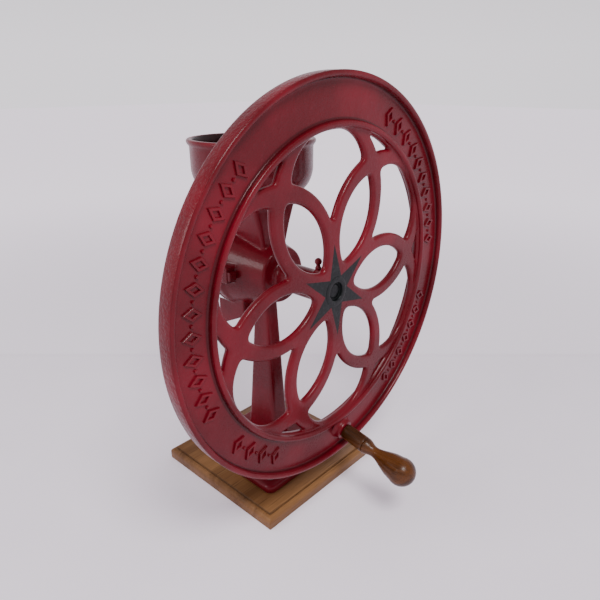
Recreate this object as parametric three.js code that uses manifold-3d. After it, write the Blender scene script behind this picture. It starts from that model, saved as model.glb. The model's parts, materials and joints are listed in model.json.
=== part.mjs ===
// Hand-cranked flywheel grain mill on a wooden board.
// Millimetres, +Z up. The origin is the centre of the board's underside.
// X runs across the mill, the flywheel faces -Y and the burr cover faces +Y.
import * as THREE from 'three';
import { mergeVertices } from 'three/addons/utils/BufferGeometryUtils.js';
import Module from 'manifold-3d';

const wasm = await Module();
wasm.setup();

// ---------------------------------------------------------------- driving dimensions
const BOARD_SIZE = 230;
const BOARD_THICKNESS = 20;
const MOULDING = { radius: 6, height: 8, step: 1.2, stepHeight: 2, chamfer: 1 };
const SHAFT_HEIGHT = 318; // shaft axis above the table
const WHEEL_FRONT_Y = -132; // front lip of the flywheel's rim
const WHEEL_RADIUS = 247.5;
const RIM_DEPTH = 20.5;
const SHAFT_RADIUS = 9.5;
const SHAFT_FRONT = 10; // behind the rim's front lip
const GAP = 0.3; // between pieces that touch
// Radial, where a piece turns on another. Both have MEDIUM_ROUND segments, so that flats clear corners.
const RUNNING_CLEARANCE = 0.1;

// From here on, places are given on the shaft line: y is the distance behind the
// rim's front lip, and z is the height above the shaft axis.
const BOARD_TOP = BOARD_THICKNESS - SHAFT_HEIGHT;

const PETALS = 6;
const PETAL_START_DEGREES = 5.5;
const CRANK_DEGREES = 275.3;
const CRANK_RADIUS = 216;
const CRANK_LEAN_DEGREES = 13; // the crank pin leans away from the wheel's centre

const SLEEVE_RADIUS = 19.4;
const SLEEVE_START = 30;
const BUSHING_RADIUS = 12;
const BELL = { front: 98, back: 177, frontRadius: 38, slope: 0.27, flangeFront: 160, flangeRadius: 58 };
const AUGER_BORE = { radius: 22, front: 104 };
const CHAMBER = { radius: 44.5, front: 142 };
const FIXED_BURR = { front: 142.3, back: 149.3, radius: 43.5, bore: 22 };
const TURNING_BURR = { front: 151.3, back: 158.3, radius: 43, bore: 14 };
const CARRIER = { front: 158.6, back: 166.6, radius: 36, hubRadius: 16, hubBack: 173 };
const COVER = {
  front: 177.3, back: 184, radius: 58, bossRadius: 20, bossBack: 209, ribHeight: 5, ribHalfWidth: 2.5,
};
const THRUST_BUTTON = { front: 192.5, back: 197.5, radius: SHAFT_RADIUS };
const ADJUSTING_SCREW = { tip: 197.8, back: 232, radius: 5 };
const LOCK_NUT = { front: 209.3, back: 215.3, radius: 9 };
const LUG = { x: 57, z: 4, halfWidth: 7, halfHeight: 11, front: 140, root: 8 };
const BOLT_RADIUS = 3.5;
const COVER_BOLT = { halfHead: 6, headHeight: 5, back: 193, nutRadius: 7, nutHeight: 6 };

const HOPPER = { y: 152, floor: 102.3, floorThickness: 4, wallRadius: 79, innerRadius: 74.5, top: 172 };
const HOPPER_SCREW_X = 45;
const HOPPER_EAR = { radius: 9, height: 8, screwDepth: 14 };
const FOOT = { halfWidth: 84, front: 48, back: 216, thickness: 12, corner: 11, bevel: 2.5 };
const FOOT_SCREW_X = 64;
const FOOT_SCREW_YS = [68, 196];
const REAR_BUSHING = { front: 180, back: 192 };
const REAR_END = 240; // past everything behind the bell
const OIL_PLUG_Y = 37;
const OIL_BOSS_TOP = 23;
const OIL_BOSS_RADIUS = 4.6;
const OIL_STEM_RADIUS = 2.2;

const RIM_ROUND = 64; // segments of a turned piece, from the largest to the smallest
const ROUND = 40;
const MEDIUM_ROUND = 24;
const SMALL_ROUND = 16;
const TINY_ROUND = 12;

// ---------------------------------------------------------------- colours
const RED_PAINT = { color: 0x7a2a30, roughness: 0.35, metalness: 0.1 };
const RED_CAST = { color: 0x64161c, roughness: 0.5, metalness: 0.1 };
const STEEL = { color: 0x8c8c88, roughness: 0.4, metalness: 0.9 };
const DARK_STEEL = { color: 0x3c3c3e, roughness: 0.5, metalness: 0.8 };
const BRONZE = { color: 0x8a6a3c, roughness: 0.4, metalness: 0.9 };
const BARE_IRON = { color: 0x55524e, roughness: 0.6, metalness: 0.7 };
const BOARD_WOOD = { color: 0x9a7048, roughness: 0.6, metalness: 0 };
const HANDLE_WOOD = { color: 0x5a3820, roughness: 0.35, metalness: 0 };

// ---------------------------------------------------------------- solids
// A closed three.js geometry as a manifold solid with its faces pointing out.
function solid(geometry) {
  const bare = new THREE.BufferGeometry();
  bare.setAttribute('position', geometry.getAttribute('position').clone());
  if (geometry.index) bare.setIndex(geometry.index.clone());
  const merged = mergeVertices(bare, 1e-4);
  const positions = merged.getAttribute('position').array;
  const triangles = [];
  let volume = 0;
  for (let i = 0; i < merged.index.count; i += 3) {
    const corners = [0, 1, 2].map((k) => merged.index.getX(i + k));
    if (new Set(corners).size < 3) continue;
    const [a, b, c] = corners.map((corner) => new THREE.Vector3().fromArray(positions, 3 * corner));
    volume += a.dot(b.cross(c));
    triangles.push(corners);
  }
  if (volume < 0) triangles.forEach((corners) => corners.reverse());
  return new wasm.Manifold(new wasm.Mesh({
    numProp: 3,
    vertProperties: new Float32Array(positions),
    triVerts: new Uint32Array(triangles.flat()),
  }));
}

function join(first, ...others) {
  return others.reduce((total, other) => total.add(other), first);
}

function cut(body, ...tools) {
  return tools.reduce((rest, tool) => rest.subtract(tool), body);
}

function pieceMesh(name, body, look) {
  const mesh = body.getMesh();
  const geometry = new THREE.BufferGeometry();
  geometry.setAttribute('position', new THREE.BufferAttribute(mesh.vertProperties, mesh.numProp));
  geometry.setIndex(new THREE.BufferAttribute(mesh.triVerts, 1));
  geometry.computeVertexNormals();
  const piece = new THREE.Mesh(geometry, new THREE.MeshStandardMaterial(look));
  piece.name = name;
  return piece;
}

// A turned solid about the shaft axis from [radius, y] points.
function turned(points, segments = ROUND) {
  return new THREE.LatheGeometry(points.map(([radius, y]) => new THREE.Vector2(radius, y)), segments);
}

// The same about an upright axis through (x, y), from [radius, z] points.
function upright(points, x, y, segments = ROUND) {
  return turned(points, segments).rotateX(Math.PI / 2).translate(x, y, 0);
}

function rod(radius, front, back, segments = SMALL_ROUND) {
  return turned([[0, front], [radius, front], [radius, back], [0, back]], segments);
}

function post(radius, bottom, top, x, y, segments = TINY_ROUND) {
  return upright([[0, bottom], [radius, bottom], [radius, top], [0, top]], x, y, segments);
}

function block(x0, x1, y0, y1, z0, z1) {
  const box = new THREE.BoxGeometry(x1 - x0, y1 - y0, z1 - z0);
  return box.translate((x0 + x1) / 2, (y0 + y1) / 2, (z0 + z1) / 2);
}

// A rectangle from -1 to 1 each way, its corners rounded by `corner` of its half width.
function roundedUnit(corner, steps) {
  const shape = new THREE.Shape();
  for (let quarter = 0; quarter < 4; quarter += 1) {
    const middle = (quarter + 0.5) * Math.PI / 2;
    const x = Math.sign(Math.cos(middle)) * (1 - corner);
    const y = Math.sign(Math.sin(middle)) * (1 - corner);
    const start = quarter * Math.PI / 2;
    shape.absarc(x, y, corner, start, start + Math.PI / 2, false);
  }
  return new THREE.Shape(shape.getPoints(steps));
}

// An upright body through a list of levels { z, x, front, back }, where x is its half width there.
function tower(levels, outline = roundedUnit(0.2, 2)) {
  const geometry = new THREE.ExtrudeGeometry(outline, {
    depth: levels.length - 1, steps: levels.length - 1, bevelEnabled: false,
  });
  const position = geometry.getAttribute('position');
  for (let i = 0; i < position.count; i += 1) {
    const level = levels[Math.round(position.getZ(i))];
    const halfDepth = (level.back - level.front) / 2;
    const middle = (level.back + level.front) / 2;
    position.setXYZ(i, position.getX(i) * level.x, middle + position.getY(i) * halfDepth, level.z);
  }
  return geometry;
}

// A plate whose outline lies in the wheel's plane, from y = front to y = back.
function plate(shape, front, back, bevel) {
  const geometry = new THREE.ExtrudeGeometry(shape, {
    depth: back - front - 2 * bevel,
    curveSegments: SMALL_ROUND,
    bevelThickness: bevel,
    bevelSize: bevel,
    bevelOffset: -bevel,
    bevelSegments: 1,
  });
  return geometry.rotateX(Math.PI / 2).translate(0, back - bevel, 0);
}

// ---------------------------------------------------------------- board
function makeBoard() {
  const half = BOARD_SIZE / 2;
  const middle = -WHEEL_FRONT_Y;
  const level = (inset, z) => ({
    z, x: half - inset, front: middle - half + inset, back: middle + half - inset,
  });
  const { radius, height, step, stepHeight, chamfer } = MOULDING;
  const levels = [level(chamfer, -SHAFT_HEIGHT), level(0, -SHAFT_HEIGHT + chamfer)];
  const steps = 4;
  for (let i = 0; i <= steps; i += 1) {
    const angle = i / steps * Math.PI / 2;
    levels.push(level(radius * (1 - Math.cos(angle)), BOARD_TOP - height + radius * Math.sin(angle)));
  }
  levels.push(level(radius + step, BOARD_TOP - stepHeight), level(radius + step, BOARD_TOP));
  const square = new THREE.Shape([[-1, -1], [1, -1], [1, 1], [-1, 1]].map((p) => new THREE.Vector2(...p)));
  const pilots = footScrewPlaces().map(([, x, y]) => (
    solid(post(FOOT_SCREW.shank + GAP, BOARD_TOP - FOOT_SCREW.depth - 1, BOARD_TOP + 1, x, y))
  ));
  return pieceMesh('base_board', cut(solid(tower(levels, square)), ...pilots), BOARD_WOOD);
}

// ---------------------------------------------------------------- foot screws
const FOOT_SCREW = {
  shank: 3, head: 6, headHeight: 4, slot: 1.2, slotDepth: 1.6, washer: 9, washerHeight: 1.5, depth: 14,
};

function footScrewPlaces() {
  const [front, back] = FOOT_SCREW_YS;
  return [
    ['front_left', -FOOT_SCREW_X, front],
    ['front_right', FOOT_SCREW_X, front],
    ['rear_left', -FOOT_SCREW_X, back],
    ['rear_right', FOOT_SCREW_X, back],
  ];
}

function makeFootScrews() {
  const footTop = BOARD_TOP + GAP + FOOT.thickness;
  const washerBottom = footTop + GAP;
  const washerTop = washerBottom + FOOT_SCREW.washerHeight;
  const headBottom = washerTop + GAP;
  const headTop = headBottom + FOOT_SCREW.headHeight;
  const pieces = [];
  for (const [corner, x, y] of footScrewPlaces()) {
    const washer = solid(upright([
      [FOOT_SCREW.shank + GAP, washerBottom], [FOOT_SCREW.washer, washerBottom],
      [FOOT_SCREW.washer, washerTop], [FOOT_SCREW.shank + GAP, washerTop],
      [FOOT_SCREW.shank + GAP, washerBottom],
    ], x, y, SMALL_ROUND));
    const screw = solid(upright([
      [0, BOARD_TOP - FOOT_SCREW.depth], [FOOT_SCREW.shank, BOARD_TOP - FOOT_SCREW.depth + 3],
      [FOOT_SCREW.shank, headBottom], [FOOT_SCREW.head, headBottom],
      [FOOT_SCREW.head * 0.8, headTop - 1], [FOOT_SCREW.head * 0.4, headTop], [0, headTop],
    ], x, y, SMALL_ROUND));
    const slot = solid(block(
      x - FOOT_SCREW.head, x + FOOT_SCREW.head, y - FOOT_SCREW.slot / 2, y + FOOT_SCREW.slot / 2,
      headTop - FOOT_SCREW.slotDepth, headTop + 1,
    ));
    pieces.push(pieceMesh(`foot_washer_${corner}`, washer, STEEL));
    pieces.push(pieceMesh(`foot_screw_${corner}`, cut(screw, slot), DARK_STEEL));
  }
  return pieces;
}

// ---------------------------------------------------------------- frame casting
function bellRadius(y) {
  return BELL.frontRadius + BELL.slope * (y - BELL.front);
}

// The throat that leads grain from the hopper down to the auger, outside or inside.
const THROAT_OUTSIDE = [
  { z: 0, x: 20, front: 116, back: 166 },
  { z: 37, x: 22, front: 113, back: 172 },
  { z: 87, x: 35.5, front: 110, back: 188 },
  { z: 96, x: 40, front: 108, back: 192 },
  { z: 102, x: 42, front: 107, back: 194 },
];
const THROAT_INSIDE = [
  { z: 8, x: 14, front: 119, back: 139 },
  { z: 37, x: 16, front: 119, back: 160 },
  { z: 103, x: 33, front: 118, back: 184 },
];
// The spout that drops the meal behind the column, as outlines [y, z] seen from the side.
// Its mouth slopes down towards the back, and the cover sits in a round seat above it.
const SPOUT = {
  halfWidth: 31,
  innerHalfWidth: 27,
  seatRadius: 59,
  outside: [[147.5, -34], [147.5, -66], [200, -92], [200, -46], [BELL.back, -46], [BELL.back, -34]],
  inside: [[152, -28], [152, -95], [196, -95], [196, -63.5], [173, -63.5], [173, -28]],
};
const COLUMN = [
  { z: BOARD_TOP + FOOT.thickness - 2, x: 21, front: 99, back: 174 },
  { z: BOARD_TOP + FOOT.thickness + 3, x: 17.5, front: 103.5, back: 169 },
  { z: BOARD_TOP + FOOT.thickness + 12, x: 15.6, front: 106, back: 167 },
  { z: -200, x: 14, front: 111, back: 160 },
  { z: -100, x: 12, front: 117.3, back: 151.8 },
  { z: -45, x: 11, front: 120.8, back: 147 },
  { z: -25, x: 11, front: 121, back: 147 },
];

function footPlate() {
  const width = FOOT.halfWidth;
  const halfDepth = (FOOT.back - FOOT.front) / 2;
  const middle = (FOOT.back + FOOT.front) / 2;
  const shape = new THREE.Shape();
  for (let quarter = 0; quarter < 4; quarter += 1) {
    const angle = (quarter + 0.5) * Math.PI / 2;
    const x = Math.sign(Math.cos(angle)) * (width - FOOT.corner);
    const y = Math.sign(Math.sin(angle)) * (halfDepth - FOOT.corner);
    shape.absarc(x, y, FOOT.corner, quarter * Math.PI / 2, (quarter + 1) * Math.PI / 2, false);
  }
  const geometry = new THREE.ExtrudeGeometry(shape, {
    depth: FOOT.thickness - FOOT.bevel,
    curveSegments: 4,
    bevelThickness: FOOT.bevel,
    bevelSize: FOOT.bevel,
    bevelOffset: -FOOT.bevel,
    bevelSegments: 2,
  });
  const bottom = BOARD_TOP + GAP;
  // Only the top edge keeps its bevel.
  const below = solid(block(-width, width, FOOT.front, FOOT.back, bottom - FOOT.bevel, bottom));
  return cut(solid(geometry.translate(0, middle, bottom)), below);
}

function lug(side, front, back) {
  const inner = side * (LUG.x - LUG.halfWidth - LUG.root);
  const outer = side * (LUG.x + LUG.halfWidth);
  const [left, right] = [Math.min(inner, outer), Math.max(inner, outer)];
  return solid(block(left, right, front, back, LUG.z - LUG.halfHeight, LUG.z + LUG.halfHeight));
}

function boltHole(side, front, back) {
  return solid(rod(BOLT_RADIUS + GAP, front, back).translate(side * LUG.x, 0, LUG.z));
}

function hopperEar(side) {
  const top = HOPPER.floor - GAP;
  const { radius, height } = HOPPER_EAR;
  return solid(post(radius, top - height, top, side * HOPPER_SCREW_X, HOPPER.y, SMALL_ROUND));
}

// Extrudes a side outline [y, z] across the mill, halfWidth each way.
function sidePlate(outline, halfWidth) {
  const shape = new THREE.Shape(outline.map(([y, z]) => new THREE.Vector2(y, z)));
  const geometry = new THREE.ExtrudeGeometry(shape, { depth: 2 * halfWidth, bevelEnabled: false });
  // The outline's own axes are y and z, and its thickness runs along x.
  geometry.applyMatrix4(new THREE.Matrix4().makeBasis(
    new THREE.Vector3(0, 1, 0), new THREE.Vector3(0, 0, 1), new THREE.Vector3(1, 0, 0),
  ));
  return solid(geometry.translate(-halfWidth, 0, 0));
}

function makeFrame() {
  const bell = solid(turned([
    [0, BELL.front], [BELL.frontRadius - 2, BELL.front], [BELL.frontRadius, BELL.front + 2],
    [bellRadius(BELL.flangeFront), BELL.flangeFront], [BELL.flangeRadius, BELL.flangeFront + 7],
    [BELL.flangeRadius, BELL.back], [0, BELL.back],
  ]));
  const sleeve = solid(turned([
    [0, SLEEVE_START], [SLEEVE_RADIUS - 1, SLEEVE_START], [SLEEVE_RADIUS, SLEEVE_START + 1],
    [SLEEVE_RADIUS, BELL.front - 4], [SLEEVE_RADIUS + 4, BELL.front + 1], [0, BELL.front + 1],
  ], MEDIUM_ROUND));
  const oilBoss = solid(post(OIL_BOSS_RADIUS, BUSHING_RADIUS, OIL_BOSS_TOP, 0, OIL_PLUG_Y, SMALL_ROUND));
  let body = join(
    bell, sleeve, oilBoss, footPlate(), sidePlate(SPOUT.outside, SPOUT.halfWidth),
    solid(tower(COLUMN)), solid(tower(THROAT_OUTSIDE)),
  );
  for (const side of [-1, 1]) body = join(body, lug(side, LUG.front, BELL.back), hopperEar(side));

  body = cut(
    body,
    solid(rod(CHAMBER.radius, CHAMBER.front, BELL.back + 1, ROUND)),
    solid(rod(AUGER_BORE.radius, AUGER_BORE.front, CHAMBER.front + 1, MEDIUM_ROUND)),
    solid(rod(BUSHING_RADIUS + GAP, SLEEVE_START - 1, AUGER_BORE.front + 1)),
    solid(tower(THROAT_INSIDE)),
    sidePlate(SPOUT.inside, SPOUT.innerHalfWidth),
    solid(post(OIL_STEM_RADIUS + GAP, BUSHING_RADIUS - 2, OIL_BOSS_TOP + 1, 0, OIL_PLUG_Y)),
    solid(rod(SPOUT.seatRadius, BELL.back, REAR_END, ROUND)),
  );
  for (const side of [-1, 1]) {
    const burrScrew = rod(BURR_SCREW.shank + GAP, BURR_SCREW.tip - 1, CHAMBER.front + 1, TINY_ROUND);
    const screwBottom = HOPPER.floor - HOPPER_EAR.screwDepth;
    const hopperScrew = post(
      HOPPER_SCREW.shank + GAP, screwBottom, HOPPER.floor + 1, side * HOPPER_SCREW_X, HOPPER.y,
    );
    body = cut(
      body,
      boltHole(side, LUG.front - 1, BELL.back + 1),
      solid(burrScrew.translate(side * BURR_SCREW.fixedX, 0, 0)),
      solid(hopperScrew),
    );
  }
  const screwHoles = footScrewPlaces().map(([, x, y]) => (
    solid(post(FOOT_SCREW.shank + GAP, BOARD_TOP - 1, BOARD_TOP + 2 * FOOT.thickness, x, y))
  ));
  return pieceMesh('mill_frame', cut(body, ...screwHoles), RED_CAST);
}

// ---------------------------------------------------------------- hopper
const HOPPER_SCREW = { shank: 2.5, head: 5, headHeight: 3, length: 13 };

function makeHopper() {
  const floorTop = HOPPER.floor + HOPPER.floorThickness;
  const outer = HOPPER.wallRadius;
  const inner = HOPPER.innerRadius;
  const bowl = solid(upright([
    [0, HOPPER.floor], [58, HOPPER.floor], [65.5, 108], [72, 115], [75.8, 122], [78, 129], [outer, 136],
    [outer, 164], [outer + 2.4, 166.5], [outer + 3.4, 169], [outer + 2.2, 171.4], [outer - 1, HOPPER.top],
    [inner + 0.8, HOPPER.top - 0.6], [inner, HOPPER.top - 2],
    [inner, 136], [inner - 1.2, 129], [71, 122], [66.5, 115.5], [59.5, 109.5], [52, floorTop], [0, floorTop],
  ], 0, HOPPER.y));
  const throat = THROAT_INSIDE[THROAT_INSIDE.length - 1];
  const mouth = solid(tower([{ ...throat, z: HOPPER.floor - 1 }, { ...throat, z: floorTop + 1 }]));
  const screwHoles = [-1, 1].map((side) => solid(post(
    HOPPER_SCREW.shank + GAP, HOPPER.floor - 1, floorTop + 1, side * HOPPER_SCREW_X, HOPPER.y,
  )));
  return pieceMesh('hopper', cut(bowl, mouth, ...screwHoles), RED_CAST);
}

function makeHopperScrew(name, side) {
  const headBottom = HOPPER.floor + HOPPER.floorThickness + GAP;
  const headTop = headBottom + HOPPER_SCREW.headHeight;
  const tip = headBottom - HOPPER_SCREW.length;
  const screw = solid(upright([
    [0, tip], [HOPPER_SCREW.shank, tip + 1], [HOPPER_SCREW.shank, headBottom],
    [HOPPER_SCREW.head, headBottom], [HOPPER_SCREW.head * 0.8, headTop - 0.6], [0, headTop],
  ], side * HOPPER_SCREW_X, HOPPER.y, TINY_ROUND));
  return pieceMesh(name, screw, DARK_STEEL);
}

// ---------------------------------------------------------------- flywheel
const WHEEL_WEB = { front: 8, back: 16.5, bevel: 3 };
const HUB = { frontRadius: 20, front: 6.5, recessRadius: 12, recess: 10.5, backRadius: 24, back: 28 };
const RING_INNER_RADIUS = 191;
const LEAF = { center: 92, offset: -42.3, radius: 69.8 };
const PETAL_EDGE = { center: 92, offset: -55.2, radius: 99.7 };
const BAY_ARC = { radius: 53, centerDistance: 136, centerDegrees: 5 };
const KEY = { width: 5, bottom: 7.2, top: 12, front: 11.3, back: 25.7 };

// A point at a distance from the wheel's centre, in a direction in degrees.
function polar(distance, degrees) {
  const angle = THREE.MathUtils.degToRad(degrees);
  return new THREE.Vector2(distance * Math.cos(angle), distance * Math.sin(angle));
}

// The arc from one point to another about a centre, the short way round, as a function of t.
function arcBetween(center, start, end) {
  const radius = start.distanceTo(center);
  const from = start.clone().sub(center).angle();
  let turn = end.clone().sub(center).angle() - from;
  if (turn > Math.PI) turn -= 2 * Math.PI;
  if (turn < -Math.PI) turn += 2 * Math.PI;
  return (t) => {
    const angle = from + turn * t;
    return new THREE.Vector2(center.x + radius * Math.cos(angle), center.y + radius * Math.sin(angle));
  };
}

// Where two circles cross, on the left of the line from the first centre to the second.
function circlesMeet(centerA, radiusA, centerB, radiusB) {
  const across = centerB.clone().sub(centerA);
  const distance = across.length();
  const along = (distance ** 2 + radiusA ** 2 - radiusB ** 2) / (2 * distance);
  const height = Math.sqrt(radiusA ** 2 - along ** 2);
  across.normalize();
  const left = new THREE.Vector2(-across.y, across.x);
  return centerA.clone().addScaledVector(across, along).addScaledVector(left, height);
}

// A closed outline through sides that meet end to end, each corner rounded over a share of its sides.
function roundedOutline(sides, trims, steps = 5) {
  const points = [];
  sides.forEach((side, index) => {
    const next = sides[(index + 1) % sides.length];
    const before = trims[index];
    const after = trims[(index + 1) % sides.length];
    for (let i = 0; i <= steps; i += 1) {
      const share = i / steps;
      points.push(side(before.end + (1 - before.end - after.start) * share));
    }
    if (after.end > 0) {
      const bend = new THREE.QuadraticBezierCurve(side(1 - after.start), side(1), next(after.end));
      points.push(...bend.getPoints(3).slice(1, -1));
    }
  });
  return points.filter((point, i) => point.distanceTo(points[(i + 1) % points.length]) > 0.05);
}

// `start` is the share given up by the side that ends at the corner, `end` by the one that starts there.
const corner = (start, end = start) => ({ start, end });

// The opening inside one petal, which lies along +X.
function leafOpening() {
  const reach = Math.sqrt(LEAF.radius ** 2 - LEAF.offset ** 2);
  const inner = new THREE.Vector2(LEAF.center - reach, 0);
  const outer = new THREE.Vector2(LEAF.center + reach, 0);
  const lower = arcBetween(new THREE.Vector2(LEAF.center, -LEAF.offset), inner, outer);
  const upper = arcBetween(new THREE.Vector2(LEAF.center, LEAF.offset), outer, inner);
  return roundedOutline([lower, upper], [corner(0.06), corner(0.05)], 8);
}

// The small opening between a petal's tip and the rim.
function tipOpening() {
  const low = new THREE.Vector2(PETAL_EDGE.center, PETAL_EDGE.offset);
  const high = new THREE.Vector2(PETAL_EDGE.center, -PETAL_EDGE.offset);
  const apex = new THREE.Vector2(PETAL_EDGE.center + Math.sqrt(PETAL_EDGE.radius ** 2 - low.y ** 2), 0);
  const rim = new THREE.Vector2(0, 0);
  const rimRadius = RING_INNER_RADIUS - 2.5;
  const below = circlesMeet(rim, rimRadius, low, PETAL_EDGE.radius);
  const above = new THREE.Vector2(below.x, -below.y);
  return roundedOutline(
    [arcBetween(low, apex, below), arcBetween(rim, below, above), arcBetween(high, above, apex)],
    [corner(0.1), corner(0.2, 0.1), corner(0.1, 0.2)],
    4,
  );
}

// The large opening between two petals, on the line halfway between them, which lies along +X.
function bayOpening() {
  const halfTurn = 180 / PETALS;
  const rim = new THREE.Vector2(0, 0);
  // Both petal edges that bound this opening, seen from its own middle line.
  const edgeCenter = new THREE.Vector2(PETAL_EDGE.center, PETAL_EDGE.offset);
  const lowPetal = edgeCenter.clone().rotateAround(rim, THREE.MathUtils.degToRad(-halfTurn));
  const reach = Math.sqrt(PETAL_EDGE.radius ** 2 - lowPetal.y ** 2);
  const inner = new THREE.Vector2(lowPetal.x + reach, 0);
  const bayLow = polar(BAY_ARC.centerDistance, -BAY_ARC.centerDegrees);
  const outerRadius = BAY_ARC.centerDistance + BAY_ARC.radius;
  const lowCorner = circlesMeet(bayLow, BAY_ARC.radius, lowPetal, PETAL_EDGE.radius);
  const rimLow = polar(outerRadius, -BAY_ARC.centerDegrees);
  const flip = (point) => new THREE.Vector2(point.x, -point.y);
  const highPetal = flip(lowPetal);
  const bayHigh = flip(bayLow);
  const highCorner = flip(lowCorner);
  const rimHigh = flip(rimLow);
  return roundedOutline(
    [
      arcBetween(lowPetal, inner, lowCorner),
      arcBetween(bayLow, lowCorner, rimLow),
      arcBetween(rim, rimLow, rimHigh),
      arcBetween(bayHigh, rimHigh, highCorner),
      arcBetween(highPetal, highCorner, inner),
    ],
    [corner(0.14), corner(0.06, 0.08), corner(0), corner(0), corner(0.08, 0.06)],
    5,
  );
}

function wheelWeb() {
  const shape = new THREE.Shape();
  shape.absarc(0, 0, RING_INNER_RADIUS + 8, 0, 2 * Math.PI, false);
  const outline = new THREE.Shape(shape.getPoints(ROUND));
  const openings = [leafOpening(), tipOpening(), bayOpening()];
  const offsets = [0, 0, 180 / PETALS];
  for (let petal = 0; petal < PETALS; petal += 1) {
    openings.forEach((points, kind) => {
      const degrees = PETAL_START_DEGREES + petal * 360 / PETALS + offsets[kind];
      const angle = THREE.MathUtils.degToRad(degrees);
      const placed = points.map((point) => point.clone().rotateAround(new THREE.Vector2(), angle));
      outline.holes.push(new THREE.Path(placed));
    });
  }
  return solid(plate(outline, WHEEL_WEB.front, WHEEL_WEB.back, WHEEL_WEB.bevel));
}

// The rim is a flat ring between an inner bead and an outer lip, with a bead and a lip behind too.
function wheelRim() {
  const innerBead = [
    [RING_INNER_RADIUS, 4.5], [192.5, 2.2], [195, 1.5], [197.3, 2], [199, 4.5], [201, 6.8], [205, 7.2],
  ];
  const outerLip = [
    [234, 6.9], [237.5, 7.6], [240, 8.2], [241.5, 1.5], [243.5, 0], [246, 0.2], [WHEEL_RADIUS, 1.5],
  ];
  const rearLip = [
    [WHEEL_RADIUS, RIM_DEPTH - 1.2], [246.3, RIM_DEPTH], [240, RIM_DEPTH], [238.5, WHEEL_WEB.back],
  ];
  const rearBead = [
    [200, WHEEL_WEB.back], [198.5, RIM_DEPTH], [192.5, RIM_DEPTH], [RING_INNER_RADIUS, 19],
    [RING_INNER_RADIUS, 4.5],
  ];
  return solid(turned([...innerBead, ...outerLip, ...rearLip, ...rearBead], RIM_ROUND));
}

function makeFlywheel() {
  const hub = solid(turned([
    [0, HUB.front], [HUB.frontRadius - 1.5, HUB.front], [HUB.frontRadius, HUB.front + 1.5],
    [HUB.frontRadius, 12], [HUB.backRadius, 14], [HUB.backRadius, HUB.back - 1],
    [HUB.backRadius - 1, HUB.back], [0, HUB.back],
  ], MEDIUM_ROUND));
  const boss = solid(onCrankLine(turned([
    [0, CRANK.bossFront], [CRANK.bossRadius - 1, CRANK.bossFront], [CRANK.bossRadius, CRANK.bossFront + 1],
    [CRANK.bossRadius, 14], [0, 14],
  ], SMALL_ROUND)));
  const behind = HUB.back + 12;
  const pinHole = solid(onCrankLine(rod(CRANK.pinRadius + GAP, -behind, behind)));
  const spotFace = solid(onCrankLine(rod(CRANK.washerRadius + 1, CRANK.rimBack, behind)));
  const keyway = block(-KEY.width / 2 - GAP, KEY.width / 2 + GAP, 0, behind, 5, KEY.top + GAP);
  const body = cut(
    join(wheelRim(), wheelWeb(), hub, boss),
    solid(rod(SHAFT_RADIUS + GAP, 0, behind, MEDIUM_ROUND)),
    solid(rod(HUB.recessRadius, 0, HUB.recess, MEDIUM_ROUND)),
    solid(keyway),
    solid(sideways(post(SET_SCREW.radius + GAP, 5, behind, 0, SET_SCREW.y))),
    pinHole,
    spotFace,
  );
  return pieceMesh('flywheel', body, RED_PAINT);
}

// The set screw comes in from the side of the rear boss, a quarter turn from the key.
const SET_SCREW = { radius: 3, y: 21, inner: SHAFT_RADIUS + GAP, outer: 25 };

// Turns an upright piece so that it points along +X.
function sideways(geometry) {
  return geometry.rotateY(Math.PI / 2);
}

function makeSetScrew() {
  const screw = solid(sideways(post(SET_SCREW.radius, SET_SCREW.inner, SET_SCREW.outer, 0, SET_SCREW.y)));
  return pieceMesh('wheel_set_screw', screw, DARK_STEEL);
}

function makeKey() {
  const half = KEY.width / 2;
  return pieceMesh('wheel_key', solid(block(-half, half, KEY.front, KEY.back, KEY.bottom, KEY.top)), STEEL);
}

// ---------------------------------------------------------------- crank handle
const CRANK = {
  pinRadius: 5,
  bossRadius: 14.5,
  bossFront: -1,
  rimBack: 19.5,
  washerRadius: 10,
  washerThickness: 2,
  nutRadius: 8.5,
  nutThickness: 6,
  shoulderRadius: 8,
  sleeveFront: 36,
  shoulderStart: 38,
  shoulderEnd: 43,
  pinEnd: 96,
  pinBack: 31,
};

// Moves a piece turned about the y axis onto the leaning crank line.
function onCrankLine(geometry) {
  const radians = THREE.MathUtils.degToRad;
  const [x, z] = polar(CRANK_RADIUS, CRANK_DEGREES).toArray();
  geometry.rotateZ(radians(CRANK_LEAN_DEGREES));
  geometry.rotateY(-radians(CRANK_DEGREES));
  return geometry.translate(x, 0, z);
}

function crankPiece(name, points, look, segments = MEDIUM_ROUND) {
  return pieceMesh(name, solid(onCrankLine(turned(points, segments))), look);
}

// On the crank line y is negative towards the hand.
function makeCrankPin() {
  const { pinRadius, shoulderRadius, shoulderStart, shoulderEnd, pinEnd, pinBack } = CRANK;
  return crankPiece('crank_pin', [
    [0, -pinEnd], [pinRadius - 1, -pinEnd], [pinRadius, 1 - pinEnd],
    [pinRadius, -shoulderEnd], [shoulderRadius, -shoulderEnd],
    [shoulderRadius, -shoulderStart], [pinRadius, -shoulderStart],
    [pinRadius, pinBack - 1], [pinRadius - 1, pinBack], [0, pinBack],
  ], STEEL);
}

function makeCrankSleeve() {
  const bore = CRANK.pinRadius + RUNNING_CLEARANCE;
  const back = CRANK.bossFront - 0.5;
  return crankPiece('crank_sleeve', [
    [bore, -CRANK.sleeveFront], [11.2, -CRANK.sleeveFront], [11.6, -CRANK.sleeveFront + 1.5],
    [11, -20], [10.4, back - 1], [9.6, back], [bore, back], [bore, -CRANK.sleeveFront],
  ], HANDLE_WOOD);
}

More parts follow.
